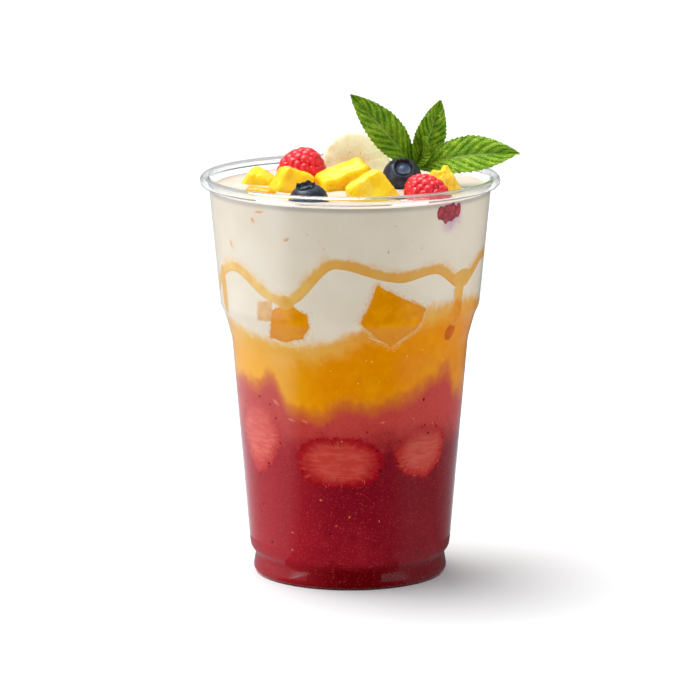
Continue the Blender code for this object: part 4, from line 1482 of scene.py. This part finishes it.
def card(name, angles, rows, shades=False):
    """A sheet round the cup, as a photographer's flag or reflector. Each row is a distance, a height and the
    light at each angle. It shows in reflections only, or only keeps the floor's light off the cup."""
    bm = bmesh.new()
    glow = bm.verts.layers.float.new("glow")
    lines = []
    for distance, height, lights in rows:
        line = []
        for start, end, first, last in zip(angles, angles[1:], lights, lights[1:]):
            steps = math.ceil((end - start) / 3)
            for i in range(steps + (end == angles[-1])):
                vertex = bm.verts.new(at(start + (end - start) * i / steps, distance, height) * MM)
                vertex[glow] = first + (last - first) * i / steps
                line.append(vertex)
        lines.append(line)
    for near, far in zip(lines, lines[1:]):
        for i in range(len(near) - 1):
            bm.faces.new((near[i], far[i], far[i + 1], near[i + 1]))
    mesh = bpy.data.meshes.new(name)
    bm.to_mesh(mesh)
    bm.free()
    made, tree = finish(
        name, 1.0, Specular_IOR_Level=0.0, Base_Color=(0, 0, 0, 1), Emission_Color=(0.88, 0.94, 1, 1)
    )
    tree.links.new(stored(tree, "glow"), shader_of(made).inputs["Emission Strength"])
    mesh.materials.append(made)
    obj = helper(name, mesh)
    obj.visible_camera = False
    obj.visible_transmission = False
    obj.visible_glossy = not shades
    obj.visible_diffuse = shades
    obj.visible_shadow = False


def lamp(name, kind, spot, power):
    """A lamp at a spot that shines on the cup and isn't seen itself."""
    made = bpy.data.lights.new(name, kind)
    made.energy = power
    obj = helper(name, made)
    obj.location = spot
    obj.rotation_euler = (Vector((0, 0, 0.07)) - Vector(spot)).to_track_quat("-Z", "Y").to_euler()
    obj.visible_camera = False
    return made


def room():
    """A pale floor, soft lamps, and the photograph's camera."""
    bpy.ops.mesh.primitive_plane_add(size=8)
    floor = bpy.context.object
    floor.name = "floor"
    made, _ = finish(
        "Pale floor", 0.6, Specular_IOR_Level=0.1, Base_Color=(0.68, 0.68, 0.68, 1),
        Emission_Color=(1, 1, 1, 1), Emission_Strength=0.08,
    )
    floor.data.materials.append(made)
    foot_angles = (-170, -52.1, -52, 37, 37.1, 86, 86.1, 170)
    foot_lights = (0.35, 0.35, 0, 0, 0.15, 0.15, 0.1, 0.1)
    card("foot_card", foot_angles, [(31, 0.3, foot_lights), (58, 0.3, foot_lights)])
    panel_lights = (0.4, 0.4, 0, 0, 0.45, 0.45, 0.1, 0.1)
    card("front_panel", foot_angles, [(1600, 1, panel_lights), (1600, 600, panel_lights)])
    near_lights = (1.1, 0.9, 0.5, 0.45, 0, 0, 0.12, 0.08, 0.3, 0.9)
    far_lights = (0.5, 0.6, 1.3, 2.3, 0, 0, 0.5, 0.4, 0.16, 0.14)
    rows = [(58, 0.3, near_lights), (140, 0.3, near_lights), (320, 0.3, far_lights), (1400, 0.3, far_lights)]
    card("wide_card", (-170, -140, -105, -62, -46, 38, 58, 92, 125, 170), rows)
    card("shade_card", (-56, 47), [(200, 0.3, (0, 0)), (1400, 0.3, (0, 0))], True)
    world = bpy.data.worlds.new("Studio")
    bpy.context.scene.world = world
    world.use_nodes = True
    sky = world.node_tree
    facing = parts_of(put(sky, "ShaderNodeTexCoord").outputs["Generated"])[1]
    sky.links.new(times_plus(facing, 0.16, 0.44), sky.nodes["Background"].inputs["Strength"])
    sky.nodes["Background"].inputs["Color"].default_value = (1, 1, 1, 1)
    lamp("key", "SUN", (-0.28, 0.2, 1.0), 4.1).angle = math.radians(45)
    boxes = (("left_softbox", (-0.9, -0.5, 0.5), 4.6), ("right_softbox", (0.9, -0.8, 0.5), 4.4))
    for name, spot, power in boxes:
        box = lamp(name, "AREA", spot, power)
        box.color = (0.86, 0.93, 1)
        box.shape = "RECTANGLE"
        box.size = 0.6
        box.size_y = 0.9
    lens = bpy.data.cameras.new("camera")
    lens.sensor_width = 36
    lens.lens = CAMERA_REACH * lens.sensor_width / FRAME_WIDTH
    camera = helper("camera", lens)
    camera.location = (0, -1.4, 0.344)
    camera.rotation_euler = (math.pi / 2 - CAMERA_DOWN, 0, 0)
    bpy.context.scene.camera = camera
    bpy.context.scene.view_settings.view_transform = "Standard"


cup()
contents()
berry_seeds()
strawberries()
wall_mango()
ribbon()
sauce_bits()
faint_marks()
raspberry_at_wall()
mangoes()
pineapple()
raspberries()
blueberries()
banana()
mint()
room()
